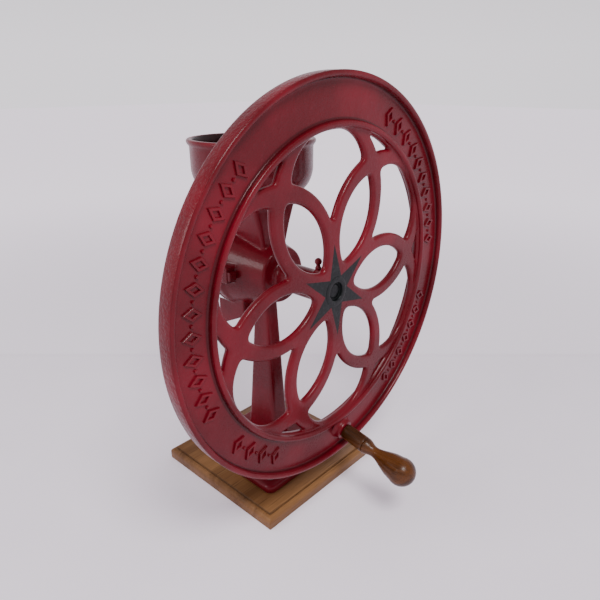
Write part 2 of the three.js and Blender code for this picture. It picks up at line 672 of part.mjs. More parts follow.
function makeCrankGrip() {
  const bore = CRANK.pinRadius + RUNNING_CLEARANCE;
  const back = -CRANK.sleeveFront - GAP;
  const pocket = CRANK.shoulderRadius + GAP;
  const knob = { radius: 19.6, y: -98.5 };
  const boreEnd = -CRANK.pinEnd - 1.5;
  const pocketEnd = -CRANK.shoulderEnd - 0.8;
  const points = [[0, boreEnd], [bore, boreEnd], [bore, pocketEnd], [pocket, pocketEnd], [pocket, back]];
  points.push([11.2, back], [11.5, back - 1.5], [10.6, back - 5], [8.2, -47.5], [7.4, -52], [7.8, -56]);
  points.push([9.6, -61.5], [12.6, -69], [15.6, -77.5]);
  const start = Math.asin(15.6 / knob.radius) + 0.32;
  const steps = 9;
  for (let i = 0; i <= steps; i += 1) {
    const angle = THREE.MathUtils.lerp(Math.PI - start, 0, i / steps);
    points.push([knob.radius * Math.sin(angle), knob.y - knob.radius * Math.cos(angle)]);
  }
  points[points.length - 1][0] = 0;
  return crankPiece('crank_grip', points, HANDLE_WOOD);
}

function makeCrankWasher() {
  const bore = CRANK.pinRadius + GAP;
  const front = CRANK.rimBack + GAP;
  const back = front + CRANK.washerThickness;
  return crankPiece('crank_pin_washer', [
    [bore, front], [CRANK.washerRadius, front], [CRANK.washerRadius, back], [bore, back], [bore, front],
  ], STEEL);
}

function makeCrankNut() {
  const front = CRANK.rimBack + CRANK.washerThickness + 2 * GAP;
  const back = front + CRANK.nutThickness;
  const nut = solid(onCrankLine(hexagon(CRANK.nutRadius, front, back)));
  const hole = solid(onCrankLine(rod(CRANK.pinRadius + GAP, front - 1, back + 1)));
  return pieceMesh('crank_pin_nut', cut(nut, hole), DARK_STEEL);
}

// ---------------------------------------------------------------- shaft and grinding parts
const BURR_SCREW = { shank: 2.5, head: 4.5, tip: 133, fixedX: 35, turningX: 26, depth: 1.5 };

function makeShaft() {
  const back = THRUST_BUTTON.front - GAP;
  const shaft = solid(turned([
    [0, SHAFT_FRONT], [SHAFT_RADIUS - 0.8, SHAFT_FRONT], [SHAFT_RADIUS, SHAFT_FRONT + 0.8],
    [SHAFT_RADIUS, back - 0.6], [SHAFT_RADIUS - 0.6, back], [0, back],
  ], MEDIUM_ROUND));
  const half = KEY.width / 2 + GAP;
  const keySeat = solid(block(-half, half, KEY.front - GAP, KEY.back + GAP, KEY.bottom - GAP, 12));
  return pieceMesh('main_shaft', cut(shaft, keySeat), STEEL);
}

function makeFrontBushing() {
  const bore = SHAFT_RADIUS + RUNNING_CLEARANCE;
  const front = SLEEVE_START + 1;
  const back = BELL.front - 1;
  const bushing = solid(turned([
    [bore, front], [BUSHING_RADIUS, front], [BUSHING_RADIUS, back], [bore, back], [bore, front],
  ], MEDIUM_ROUND));
  const oilHole = solid(post(OIL_STEM_RADIUS + GAP, 5, 20, 0, OIL_PLUG_Y));
  return pieceMesh('front_bushing', cut(bushing, oilHole), BRONZE);
}

function makeRearBushing() {
  const bore = SHAFT_RADIUS + RUNNING_CLEARANCE;
  const { front, back } = REAR_BUSHING;
  return pieceMesh('rear_bushing', solid(turned([
    [bore, front], [BUSHING_RADIUS, front], [BUSHING_RADIUS, back], [bore, back], [bore, front],
  ], MEDIUM_ROUND)), BRONZE);
}

function makeOilPlug() {
  const ball = { radius: 4.65, z: 32.5 };
  const neckRadius = 3;
  const collar = { radius: 4.2, bottom: OIL_BOSS_TOP + GAP, top: OIL_BOSS_TOP + 2 };
  const points = [
    [0, 14], [OIL_STEM_RADIUS, 14.6], [OIL_STEM_RADIUS, collar.bottom], [collar.radius, collar.bottom],
    [collar.radius, collar.top], [neckRadius, collar.top + 1],
  ];
  const steps = 8;
  const start = Math.asin(neckRadius / ball.radius);
  for (let i = 0; i <= steps; i += 1) {
    const angle = THREE.MathUtils.lerp(Math.PI - start, 0, i / steps);
    points.push([ball.radius * Math.sin(angle), ball.z + ball.radius * Math.cos(angle)]);
  }
  points[points.length - 1][0] = 0;
  return pieceMesh('oil_plug', solid(upright(points, 0, OIL_PLUG_Y, SMALL_ROUND)), RED_CAST);
}

// A two-start screw: a lobed section drawn along the shaft and twisted as it goes.
function makeAuger() {
  const front = AUGER_BORE.front + 0.5;
  const flightBack = CHAMBER.front - 1;
  const coreRadius = 13;
  const flightRadius = AUGER_BORE.radius - 1;
  const turns = 0.6;
  const lobes = 2;
  const steps = 9;
  const corners = 16;
  const points = [];
  for (let i = 0; i < corners; i += 1) {
    const angle = i / corners * 2 * Math.PI;
    const crest = Math.max(0, Math.cos(lobes * angle)) ** 2;
    points.push(polar(coreRadius + (flightRadius - coreRadius) * crest, THREE.MathUtils.radToDeg(angle)));
  }
  const flights = new THREE.ExtrudeGeometry(new THREE.Shape(points), {
    depth: flightBack - front, steps, bevelEnabled: false,
  });
  const position = flights.getAttribute('position');
  const point = new THREE.Vector3();
  for (let i = 0; i < position.count; i += 1) {
    point.fromBufferAttribute(position, i);
    point.applyAxisAngle(new THREE.Vector3(0, 0, 1), turns * 2 * Math.PI * point.z / (flightBack - front));
    position.setXYZ(i, point.x, point.y, point.z);
  }
  const screw = solid(flights.rotateX(Math.PI / 2).translate(0, flightBack, 0));
  const core = solid(rod(coreRadius, front, CARRIER.front - GAP, SMALL_ROUND));
  const bore = solid(rod(SHAFT_RADIUS + GAP, front - 1, CARRIER.front, MEDIUM_ROUND));
  return pieceMesh('feed_auger', cut(join(screw, core), bore), BARE_IRON);
}

// Grooves across a burr's working face, set off from its centre so that they slant.
const GROOVE = { count: 10, depth: 1.2, near: 1.5, far: 4 };

function burrGrooves(inner, outer, y) {
  const grooves = [];
  for (let i = 0; i < GROOVE.count; i += 1) {
    const groove = block(inner - 4, outer + 4, y - GROOVE.depth, y + GROOVE.depth, GROOVE.near, GROOVE.far);
    grooves.push(solid(groove.rotateY(i / GROOVE.count * 2 * Math.PI)));
  }
  return grooves;
}

function burrRing(bore, radius, front, back) {
  return solid(turned([[bore, front], [radius, front], [radius, back], [bore, back], [bore, front]]));
}

function makeFixedBurr() {
  const { front, back, radius, bore } = FIXED_BURR;
  const face = back - BURR_SCREW.depth;
  const holes = [-1, 1].map((side) => (
    solid(burrScrewOutline(BURR_SCREW.tip - 1, face, 1, GAP).translate(side * BURR_SCREW.fixedX, 0, 0))
  ));
  return pieceMesh('fixed_burr', cut(
    burrRing(bore, radius, front, back), ...burrGrooves(bore, radius, back), ...holes,
  ), BARE_IRON);
}

function makeTurningBurr() {
  const { front, back, radius, bore } = TURNING_BURR;
  const face = front + BURR_SCREW.depth;
  const holes = [-1, 1].map((side) => (
    solid(burrScrewOutline(CARRIER.back + 1, face, -1, GAP).translate(side * BURR_SCREW.turningX, 0, 0))
  ));
  return pieceMesh('turning_burr', cut(
    burrRing(bore, radius, front, back), ...burrGrooves(bore, radius, front), ...holes,
  ), BARE_IRON);
}

// A countersunk screw: its head's face lies at `face` and its tip at `tip`.
// `side` is 1 when the head faces the rear and -1 when it faces the wheel.
function burrScrewOutline(tip, face, side, grow = 0) {
  const shank = BURR_SCREW.shank + grow;
  const head = BURR_SCREW.head + grow;
  const sink = face - side * 2.5;
  const end = grow > 0 ? face + side * 2 * BURR_SCREW.depth : face;
  const points = [[0, tip], [shank, tip], [shank, sink], [head, face - side * 0.5], [head, end], [0, end]];
  return turned(points, TINY_ROUND);
}

function makeBurrScrew(name, side, kind) {
  const fixed = kind === 'fixed';
  const x = side * (fixed ? BURR_SCREW.fixedX : BURR_SCREW.turningX);
  const face = fixed ? FIXED_BURR.back - BURR_SCREW.depth : TURNING_BURR.front + BURR_SCREW.depth;
  const tip = fixed ? BURR_SCREW.tip : CARRIER.back - 1;
  const screw = solid(burrScrewOutline(tip, face, fixed ? 1 : -1).translate(x, 0, 0));
  return pieceMesh(name, screw, DARK_STEEL);
}

function makeCarrier() {
  const { front, back, radius, hubRadius, hubBack } = CARRIER;
  const body = solid(turned([
    [SHAFT_RADIUS + GAP, front], [radius, front], [radius, back], [hubRadius, back], [hubRadius, hubBack],
    [SHAFT_RADIUS + GAP, hubBack], [SHAFT_RADIUS + GAP, front],
  ], MEDIUM_ROUND));
  const holes = [-1, 1].map((side) => solid(rod(BURR_SCREW.shank + GAP, front - 1, back + 1, TINY_ROUND)
    .translate(side * BURR_SCREW.turningX, 0, 0)));
  return pieceMesh('burr_carrier', cut(body, ...holes), BARE_IRON);
}

// ---------------------------------------------------------------- rear cover and adjustment
function makeCover() {
  const { front, back, radius, bossRadius, bossBack, ribHeight, ribHalfWidth } = COVER;
  const bushingSeat = REAR_BUSHING.back + GAP;
  const buttonSeat = THRUST_BUTTON.back + 3.5;
  let body = solid(turned([
    [0, front], [radius, front], [radius, back - 1.5], [radius - 1.5, back], [bossRadius + 8, back],
    [bossRadius + 2, back + 4], [bossRadius, bossBack - 2], [bossRadius - 2, bossBack], [0, bossBack],
  ]));
  for (const side of [-1, 1]) body = join(body, lug(side, front, back));
  const ribs = [0, 1, 2, 3].map((quarter) => (
    solid(block(bossRadius / 2, radius - 10, back - 1, back + ribHeight, -ribHalfWidth, ribHalfWidth)
      .rotateY((quarter + 0.5) * Math.PI / 2))
  ));
  body = join(body, ...ribs);
  return pieceMesh('rear_cover', cut(
    body,
    solid(rod(BUSHING_RADIUS + GAP, front - 1, bushingSeat, MEDIUM_ROUND)),
    solid(rod(THRUST_BUTTON.radius + GAP, bushingSeat - 1, buttonSeat, MEDIUM_ROUND)),
    solid(rod(ADJUSTING_SCREW.radius + GAP, buttonSeat - 1, bossBack + 1)),
    boltHole(-1, front - 1, back + 1),
    boltHole(1, front - 1, back + 1),
  ), RED_CAST);
}

function hexagon(radius, front, back) {
  return turned([[0, front], [radius, front], [radius, back], [0, back]], 6);
}

function makeCoverBolt(name, side) {
  const headBack = LUG.front - GAP;
  const { halfHead, headHeight, back } = COVER_BOLT;
  const head = solid(block(-halfHead, halfHead, headBack - headHeight, headBack, -halfHead, halfHead)
    .translate(side * LUG.x, 0, LUG.z));
  const shank = solid(rod(BOLT_RADIUS, headBack - 1, back).translate(side * LUG.x, 0, LUG.z));
  return pieceMesh(name, join(head, shank), RED_CAST);
}

function makeCoverNut(name, side) {
  const front = COVER.back + GAP;
  const back = front + COVER_BOLT.nutHeight;
  const nut = solid(hexagon(COVER_BOLT.nutRadius, front, back).translate(side * LUG.x, 0, LUG.z));
  return pieceMesh(name, cut(nut, boltHole(side, front - 1, back + 1)), DARK_STEEL);
}

function makeThrustButton() {
  const { front, back, radius } = THRUST_BUTTON;
  return pieceMesh('thrust_button', solid(rod(radius, front, back, MEDIUM_ROUND)), STEEL);
}

// The adjusting screw's thumb piece: a round head with a wing on each side.
const THUMB = { headFront: 219, headRadius: 8, wingRadius: 8, wingThickness: 5, wingX: 14 };

function makeAdjustingScrew() {
  const { tip, back, radius } = ADJUSTING_SCREW;
  const { headFront, headRadius, wingRadius, wingThickness, wingX } = THUMB;
  const shank = solid(turned([
    [0, tip], [radius - 1.5, tip], [radius, tip + 1.5], [radius, headFront], [headRadius, headFront + 1],
    [headRadius, back - 2], [headRadius - 1.5, back], [0, back],
  ]));
  const wings = [-1, 1].map((side) => {
    const wing = new THREE.CylinderGeometry(wingRadius, wingRadius, wingThickness, SMALL_ROUND);
    return solid(wing.rotateX(Math.PI / 2).translate(side * wingX, back - 6, 0));
  });
  return pieceMesh('adjusting_screw', join(shank, ...wings), STEEL);
}

function makeLockNut() {
  const { front, back, radius } = LOCK_NUT;
  const hole = solid(rod(ADJUSTING_SCREW.radius + GAP, front - 1, back + 1));
  return pieceMesh('adjusting_lock_nut', cut(solid(hexagon(radius, front, back)), hole), DARK_STEEL);
}

// ---------------------------------------------------------------- assembly
const mill = new THREE.Group();
const shaftLine = new THREE.Group();
shaftLine.position.set(0, WHEEL_FRONT_Y, SHAFT_HEIGHT);
mill.add(shaftLine);

shaftLine.add(makeBoard(), makeFrame(), ...makeFootScrews());
shaftLine.add(makeHopper());
shaftLine.add(makeShaft(), makeFrontBushing(), makeRearBushing(), makeAuger());
shaftLine.add(makeFixedBurr(), makeTurningBurr(), makeCarrier());
shaftLine.add(makeCover(), makeThrustButton(), makeAdjustingScrew(), makeLockNut());
shaftLine.add(makeFlywheel(), makeKey(), makeSetScrew());
shaftLine.add(makeCrankPin(), makeCrankSleeve(), makeCrankGrip(), makeCrankWasher(), makeCrankNut());
shaftLine.add(makeOilPlug());
for (const [word, side] of [['left', -1], ['right', 1]]) {
  shaftLine.add(
    makeHopperScrew(`hopper_screw_${word}`, side),
    makeBurrScrew(`fixed_burr_screw_${word}`, side, 'fixed'),
    makeBurrScrew(`turning_burr_screw_${word}`, side, 'turning'),
    makeCoverBolt(`cover_bolt_${word}`, side),
    makeCoverNut(`cover_nut_${word}`, side),
  );
}

export default mill;
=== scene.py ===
"""Looks of the hand-cranked grain mill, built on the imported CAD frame."""
import json
import math

import bmesh
import bpy
from mathutils import Matrix, Vector


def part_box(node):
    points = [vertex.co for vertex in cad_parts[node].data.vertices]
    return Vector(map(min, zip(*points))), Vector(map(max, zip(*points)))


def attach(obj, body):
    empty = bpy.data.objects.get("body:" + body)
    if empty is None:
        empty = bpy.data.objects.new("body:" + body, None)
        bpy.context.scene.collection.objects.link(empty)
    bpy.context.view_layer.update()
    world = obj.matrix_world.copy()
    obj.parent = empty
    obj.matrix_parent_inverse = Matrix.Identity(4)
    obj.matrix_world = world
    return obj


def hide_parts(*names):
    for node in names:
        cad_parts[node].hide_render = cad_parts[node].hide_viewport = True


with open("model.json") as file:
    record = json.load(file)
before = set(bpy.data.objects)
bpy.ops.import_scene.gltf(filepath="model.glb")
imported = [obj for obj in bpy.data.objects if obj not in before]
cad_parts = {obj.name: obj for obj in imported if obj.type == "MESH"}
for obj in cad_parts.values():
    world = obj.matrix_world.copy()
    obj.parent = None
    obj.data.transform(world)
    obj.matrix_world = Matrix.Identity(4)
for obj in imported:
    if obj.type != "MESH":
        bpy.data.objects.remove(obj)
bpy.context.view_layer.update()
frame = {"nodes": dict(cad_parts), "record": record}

# ---------------------------- places and sizes
# Shapes are drawn in millimetres on the shaft line: x across the mill, y behind the
# rim's front lip and z above the shaft axis. TO_ROW takes them to the frame's metres.
MM = 0.001
SHAFT_SETBACK = 10.0  # the shaft's front end lies this far behind the rim's lip
GAP = 0.3  # between pieces that touch
shaft_low, shaft_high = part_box("main_shaft")
LINE = Vector((0, shaft_low.y - SHAFT_SETBACK * MM, (shaft_low.z + shaft_high.z) / 2))
TO_ROW = Matrix.Translation(LINE) @ Matrix.Scale(MM, 4)
FROM_ROW = TO_ROW.inverted()


def row_y(y):
    """A place behind the rim's front lip as the frame's y, in metres."""
    return LINE.y + y * MM


def row_z(z):
    """A height above the shaft axis as the frame's z, in metres."""
    return LINE.z + z * MM


def node_box(name):
    """A CAD node's lowest and highest corners, in millimetres on the shaft line."""
    low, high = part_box(name)
    return FROM_ROW @ low, FROM_ROW @ high


WHEEL_LOW, WHEEL_HIGH = node_box("flywheel")
BOARD_LOW, BOARD_HIGH = node_box("base_board")
HOPPER_LOW, HOPPER_HIGH = node_box("hopper")
COVER_LOW, COVER_HIGH = node_box("rear_cover")
WHEEL_RADIUS = (WHEEL_HIGH.z - WHEEL_LOW.z) / 2
BOARD_TOP = BOARD_HIGH.z
BOARD_HALF = (BOARD_HIGH.x - BOARD_LOW.x) / 2
BOARD_Y = (BOARD_LOW.y + BOARD_HIGH.y) / 2
SHAFT_RADIUS = (shaft_high.z - shaft_low.z) / 2 / MM
HOPPER_Y = (HOPPER_LOW.y + HOPPER_HIGH.y) / 2

PETALS = 6
PETAL_START = math.radians(5.5)
CRANK_ANGLE = math.radians(275.3)
CRANK_RADIUS = 216
CRANK_LEAN = math.radians(13)

# ---------------------------- mesh helpers
WELD = 1e-4  # points closer than this become one
LATHE_WELD = 1e-3
ON_AXIS = 1e-5  # radius of a profile's end on the axis, until it is welded


def finish_mesh(name, bm, material, sharp_degrees=38, to_row=TO_ROW):
    """A smooth-shaded object from a bmesh drawn in millimetres on the shaft line."""
    bmesh.ops.remove_doubles(bm, verts=bm.verts, dist=WELD)
    bmesh.ops.recalc_face_normals(bm, faces=bm.faces)
    bm.transform(to_row)
    mesh = bpy.data.meshes.new(name)
    bm.to_mesh(mesh)
    bm.free()
    mesh.shade_smooth()
    mesh.set_sharp_from_angle(angle=math.radians(sharp_degrees))
    obj = bpy.data.objects.new(name, mesh)
    bpy.context.scene.collection.objects.link(obj)
    if material is not None:
        mesh.materials.append(material)
    return obj


def add_rings(bm, rings, cap_ends=False):
    """Skins closed loops of points, one after another."""
    made = [[bm.verts.new(point) for point in ring] for ring in rings]
    for lower, upper in zip(made, made[1:]):
        count = len(lower)
        for i in range(count):
            j = (i + 1) % count
            bm.faces.new((lower[i], lower[j], upper[j], upper[i]))
    if cap_ends:
        bm.faces.new(list(reversed(made[0])))
        bm.faces.new(made[-1])
    return made


def add_lathe(bm, profile, segments=96, upright_at=None, move=Matrix.Identity(4)):
    """Turns (radius, along) points about the shaft axis, or about an upright axis at (x, y)."""
    rings = []
    for radius, along in profile:
        reach = max(radius, ON_AXIS)
        ring = []
        for i in range(segments):
            angle = 2 * math.pi * i / segments
            across, up = reach * math.cos(angle), reach * math.sin(angle)
            if upright_at is None:
                ring.append(move @ Vector((across, along, up)))
            else:
                ring.append(move @ Vector((upright_at[0] + across, upright_at[1] + up, along)))
        rings.append(ring)
    made = [vert for ring in add_rings(bm, rings) for vert in ring]
    bmesh.ops.remove_doubles(bm, verts=made, dist=LATHE_WELD)


def add_cylinder(bm, radius, start, end, segments=96, **where):
    """A plain round bar, placed as add_lathe places a profile."""
    add_lathe(bm, [(0, start), (radius, start), (radius, end), (0, end)], segments, **where)


def turned(name, profile, material, segments=64, sharp_degrees=38, **where):
    """One piece turned on a lathe."""
    bm = bmesh.new()
    add_lathe(bm, profile, segments, **where)
    return finish_mesh(name, bm, material, sharp_degrees)


def add_prism(bm, levels, sides=6, place=Matrix.Identity(4), turn=0.0):
    """A many-sided bar along y through levels (radius, along)."""
    rings = []
    for radius, along in levels:
        ring = []
        for i in range(sides):
            angle = turn + 2 * math.pi * i / sides
            ring.append(place @ Vector((radius * math.cos(angle), along, radius * math.sin(angle))))
        rings.append(ring)
    add_rings(bm, rings, cap_ends=True)


def dome(radius, rise, along, start, end, steps):
    """Points (radius, along) of a round end, between two angles in degrees above its widest place."""
    angles = [math.radians(start + (end - start) * i / steps) for i in range(steps + 1)]
    return [(radius * math.cos(angle), along + rise * math.sin(angle)) for angle in angles]


def thread(radius, start, end, pitch=1.25):
    """Lathe points of a threaded stretch along the shaft direction."""
    turns = max(2, round(abs(end - start) / pitch))
    step = (end - start) / turns
    root = radius * 0.9
    points = []
    for i in range(turns):
        points += [(root, start + i * step), (radius, start + (i + 0.3) * step)]
        points += [(radius, start + (i + 0.6) * step)]
    return points + [(root, end)]


def nut_levels(radius, front, back, chamfer=0.9):
    """Levels of a hexagon nut with both its faces chamfered."""
    face = radius * 0.88
    return [(face, front), (radius, front + chamfer), (radius, back - chamfer), (face, back)]


def rounded_rectangle(half_x, half_y, radius, steps=5):
    """Corner points of a rounded rectangle, counter-clockwise from the right side."""
    points = []
    for quarter in range(4):
        middle = (quarter + 0.5) * math.pi / 2
        cx = math.copysign(half_x - radius, math.cos(middle))
        cy = math.copysign(half_y - radius, math.sin(middle))
        for i in range(steps + 1):
            angle = (quarter + i / steps) * math.pi / 2
            points.append((cx + radius * math.cos(angle), cy + radius * math.sin(angle)))
    return points


def add_tower(bm, levels, corner=5.0, steps=5):
    """An upright body through levels (z, half width, front, back)."""
    rings = []
    for z, half, front, back in levels:
        half_depth = (back - front) / 2
        middle = (back + front) / 2
        outline = rounded_rectangle(half, half_depth, corner, steps)
        rings.append([Vector((x, middle + y, z)) for x, y in outline])
    add_rings(bm, rings, cap_ends=True)


def add_side_plate(bm, outline, half_width):
    """A body with a side outline (y, z), drawn across the mill."""
    rings = [[Vector((x, y, z)) for y, z in outline] for x in (-half_width, half_width)]
    add_rings(bm, rings, cap_ends=True)


def add_block(bm, low, high):
    """A plain box between two corners."""
    size = Vector(high) - Vector(low)
    middle = (Vector(high) + Vector(low)) / 2
    matrix = Matrix.Translation(middle) @ Matrix.Diagonal((*size, 1))
    bmesh.ops.create_cube(bm, size=1, matrix=matrix)


def add_side_block(bm, side, across, along, height):
    """A box on the left (-1) or right (1) of the mill, from ranges of |x|, y and z."""
    inner, outer = sorted(side * distance for distance in across)
    add_block(bm, (inner, along[0], height[0]), (outer, along[1], height[1]))


def apply_modifiers(obj):
    """Bakes an object's modifiers into its mesh."""
    graph = bpy.context.evaluated_depsgraph_get()
    mesh = bpy.data.meshes.new_from_object(obj.evaluated_get(graph))
    obj.modifiers.clear()
    old = obj.data
    obj.data = mesh
    bpy.data.meshes.remove(old)


def cast(obj, voxel_mm, smoothing):
    """Melts overlapping solids into one casting with soft fillets where they meet."""
    remesh = obj.modifiers.new("melt", "REMESH")
    remesh.mode = "VOXEL"
    remesh.voxel_size = voxel_mm * MM
    remesh.use_smooth_shade = True
    soften = obj.modifiers.new("soften", "SMOOTH")
    soften.factor = 0.5
    soften.iterations = smoothing
    apply_modifiers(obj)


def carve(obj, tool):
    """Cuts one object out of another and drops the tool."""
    cut = obj.modifiers.new("carve", "BOOLEAN")
    cut.operation = "DIFFERENCE"
    cut.solver = "EXACT"
    cut.use_self = True
    cut.object = tool
    apply_modifiers(obj)
    bpy.data.objects.remove(tool)


# ---------------------------- materials


class Nodes:
    """Adds linked nodes to a material or the world."""

    def __init__(self, owner, shader="Principled BSDF", place="Object"):
        owner.use_nodes = True
        self.owner = owner
        self.tree = owner.node_tree
        self.shader = self.tree.nodes[shader]
        self.place = self.tree.nodes.new("ShaderNodeTexCoord").outputs[place]

    def link(self, source, socket):
        """Feeds a socket from another socket, or sets it to a value."""
        if isinstance(source, bpy.types.NodeSocket):
            self.tree.links.new(source, socket)
        else:
            socket.default_value = source

    def feed(self, node, **values):
        """Feeds or sets a node's sockets, with _ for a space in a socket's name."""
        for name, value in values.items():
            self.link(value, node.inputs[name.replace("_", " ")])

    def add(self, kind, **values):
        node = self.tree.nodes.new("ShaderNode" + kind)
        self.feed(node, **values)
        return node

    def noise(self, scale, detail=4, roughness=0.55, stretch=(1, 1, 1), distortion=0.0):
        place = self.add("Mapping", Scale=stretch, Vector=self.place).outputs["Vector"]
        node = self.add("TexNoise", Scale=scale, Detail=detail, Roughness=roughness, Vector=place)
        self.feed(node, Distortion=distortion)
        return node.outputs["Fac"]

    def math(self, operation, a, b=0.0):
        node = self.add("Math")
        node.operation = operation
        self.link(a, node.inputs[0])
        self.link(b, node.inputs[1])
        return node.outputs["Value"]

    def plus(self, a, b):
        return self.math("ADD", a, b)

    def minus(self, a, b):
        return self.math("SUBTRACT", a, b)

    def times(self, a, b):
        return self.math("MULTIPLY", a, b)

    def size_of(self, a):
        return self.math("ABSOLUTE", a)

    def length(self, a, b):
        """The length of the arrow (a, b)."""
        return self.math("SQRT", self.plus(self.times(a, a), self.times(b, b)))

    def ramp(self, value, low, high, out_low=0.0, out_high=1.0, kind="SMOOTHSTEP"):
        """A step from one output to the other, while the value goes from low to high."""
        node = self.add("MapRange", Value=value, From_Min=low, From_Max=high, To_Min=out_low, To_Max=out_high)
        node.interpolation_type = kind
        return node.outputs["Result"]

    def mix(self, factor, a, b):
        node = self.add("Mix")
        node.data_type = "RGBA"
        self.feed(node, Factor=factor, A=a, B=b)
        return node.outputs["Result"]

    def bump(self, height, distance_mm):
        return self.add("Bump", Height=height, Strength=1.0, Distance=distance_mm * MM).outputs["Normal"]

    def axes(self):
        """The place's x, y and z, in metres."""
        node = self.add("SeparateXYZ", Vector=self.place)
        return node.outputs["X"], node.outputs["Y"], node.outputs["Z"]

    def set(self, **values):
        self.feed(self.shader, **values)


def colour(red, green, blue):
    return (red, green, blue, 1.0)


def material_nodes(name):
    return Nodes(bpy.data.materials.new(name))


def darker(tone, share):
    """A share of a colour's light."""
    return colour(*(part * share for part in tone[:3]))


RED_LIGHT = colour(0.15, 0.0035, 0.011)
RED_DEEP = colour(0.085, 0.001, 0.0045)
RED_DUSTY = colour(0.19, 0.024, 0.036)
RED_SHADED = colour(0.03, 0.0005, 0.002)
STAR_BLACK = colour(0.003, 0.0045, 0.0045)
STAR_WORN = colour(0.012, 0.016, 0.016)
BOWL_PAINTED_SHADE = colour(0.012, 0.004, 0.004)
STEEL_BRIGHT = colour(0.42, 0.42, 0.41)
STEEL_STAINED = colour(0.25, 0.24, 0.22)


def black_paint(n):
    """The hub's black paint, worn grey in places."""
    return n.mix(n.ramp(n.noise(260, 4), 0.5, 0.75), STAR_BLACK, STAR_WORN)


def red_enamel(name, star=False, bowl=False):
    """Glossy red enamel over a slightly rough casting. The wheel's star is painted black on it,
    with painted shade in the corners of the rim's flat, and the bowl has painted shade inside it."""
    n = material_nodes(name)
    broad = n.noise(9, 3)
    fine = n.noise(420, 3)
    pits = n.noise(150, 5, 0.6)
    tone = n.mix(n.ramp(broad, 0.35, 0.7), RED_DEEP, RED_LIGHT)
    tone = n.mix(n.times(n.ramp(pits, 0.55, 0.8), 0.22), tone, RED_DUSTY)
    rough = n.plus(n.ramp(fine, 0.3, 0.7, 0.24, 0.34), n.ramp(broad, 0.3, 0.7, 0.0, 0.08))
    height = n.plus(pits, n.times(fine, 0.25))
    if star:
        painted = star_mask(n)
        # Painted shade: the corners of the rim's flat are darkened towards RED_SHADED.
        tone = n.mix(n.times(painted_corner_shade_mask(n), 0.7), tone, RED_SHADED)
        tone = n.mix(painted, tone, black_paint(n))
        rough = n.plus(rough, n.times(painted, 0.14))
        height = n.plus(height, n.times(n.noise(210, 2), tread_height(n)))
    if bowl:
        # Painted shade: the hopper's inside is darkened nearly to black, varied a little by the pits noise.
        stain_and_painted_shade = n.times(bowl_shade_mask(n), n.ramp(pits, 0.2, 0.6, 0.8, 0.97))
        tone = n.mix(stain_and_painted_shade, tone, BOWL_PAINTED_SHADE)
    n.set(Base_Color=tone, Roughness=rough, Normal=n.bump(height, 0.5))
    n.set(Coat_Weight=0.2, Coat_Roughness=0.16, Specular_IOR_Level=0.12)
    return n.owner


def wheel_place(n):
    """The distance from the wheel's axis, the place across and above it, and the row's y."""
    x, y, z = n.axes()
    up = n.minus(z, LINE.z)
    return n.length(x, up), x, up, y


STAR_TIP = 61.7
STAR_VALLEY = 21.0
STAR_WOBBLE = 0.6  # how far the brush strayed from the star's edge
HUB_PAINT_RADIUS = 21.0


def star_mask(n):
    """1 inside the painted six-pointed star and on the hub's front, from the place on the wheel."""
    radius, x, up, y = wheel_place(n)
    angle = n.math("ARCTAN2", up, x)
    sector = 2 * math.pi / PETALS
    # The petals lie between the star's points, so a petal's line is a valley of the star.
    sectors = n.math("DIVIDE", n.minus(angle, PETAL_START + sector / 2), sector)
    folded = n.times(n.minus(sectors, n.math("ROUND", sectors)), sector)
    along = n.times(radius, n.math("COSINE", folded))
    aside = n.size_of(n.times(radius, n.math("SINE", folded)))
    tip = Vector((STAR_TIP * MM, 0))
    valley = Vector((math.cos(sector / 2), math.sin(sector / 2))) * STAR_VALLEY * MM
    edge = (valley - tip).normalized()
    outward = Vector((edge.y, -edge.x))
    offset = outward.dot(tip)
    distance = n.plus(n.times(along, outward.x), n.times(aside, outward.y))
    wobble = n.times(n.minus(n.noise(300, 2), 0.5), STAR_WOBBLE * MM)
    distance = n.plus(n.minus(distance, offset), wobble)
    inside = n.ramp(distance, 0.25 * MM, -0.25 * MM)
    hub = n.ramp(radius, (HUB_PAINT_RADIUS + 0.4) * MM, (HUB_PAINT_RADIUS - 0.4) * MM)
    front_only = n.ramp(y, row_y(13), row_y(12))
    return n.times(n.math("MAXIMUM", inside, hub), front_only)


CORNERS = [(199.6, 2.6), (240.2, 1.8)]  # radius and reach of the flat's two inner corners


def painted_corner_shade_mask(n):
    """1 in the corners of the rim's flat, where shade is painted into the red."""
    radius, _, _, y = wheel_place(n)
    mask = 0.0
    for corner, reach in CORNERS:
        away = n.size_of(n.minus(radius, corner * MM))
        mask = n.math("MAXIMUM", mask, n.ramp(away, reach * MM, 0.4 * reach * MM))
    below_lip = n.ramp(y, row_y(4), row_y(6))
    front_only = n.ramp(y, row_y(12), row_y(11))
    return n.times(n.times(mask, below_lip), front_only)


def bowl_shade_mask(n):
    """1 on the inside of the hopper, where shade is painted, from the distance to its upright axis."""
    x, y, z = n.axes()
    radius = n.length(x, n.minus(y, row_y(HOPPER_Y)))
    # The wall inside is upright above and a bowl below, so its edge follows the height.
    wall = n.ramp(z, row_z(104), row_z(137), 58 * MM, 76 * MM)
    return n.ramp(n.minus(wall, radius), -0.5 * MM, 0.8 * MM)


def tread_height(n):
    """Rises to 3 on the rim's tread, which was left as rough as it was cast."""
    radius = wheel_place(n)[0]
    return n.ramp(radius, (WHEEL_RADIUS - 1) * MM, (WHEEL_RADIUS - 0.2) * MM, 0.0, 3.0)


def drawn_out(axis, share):
    """Noise scales that draw a pattern out along one axis."""
    return [share if i == axis else 1.0 for i in range(3)]


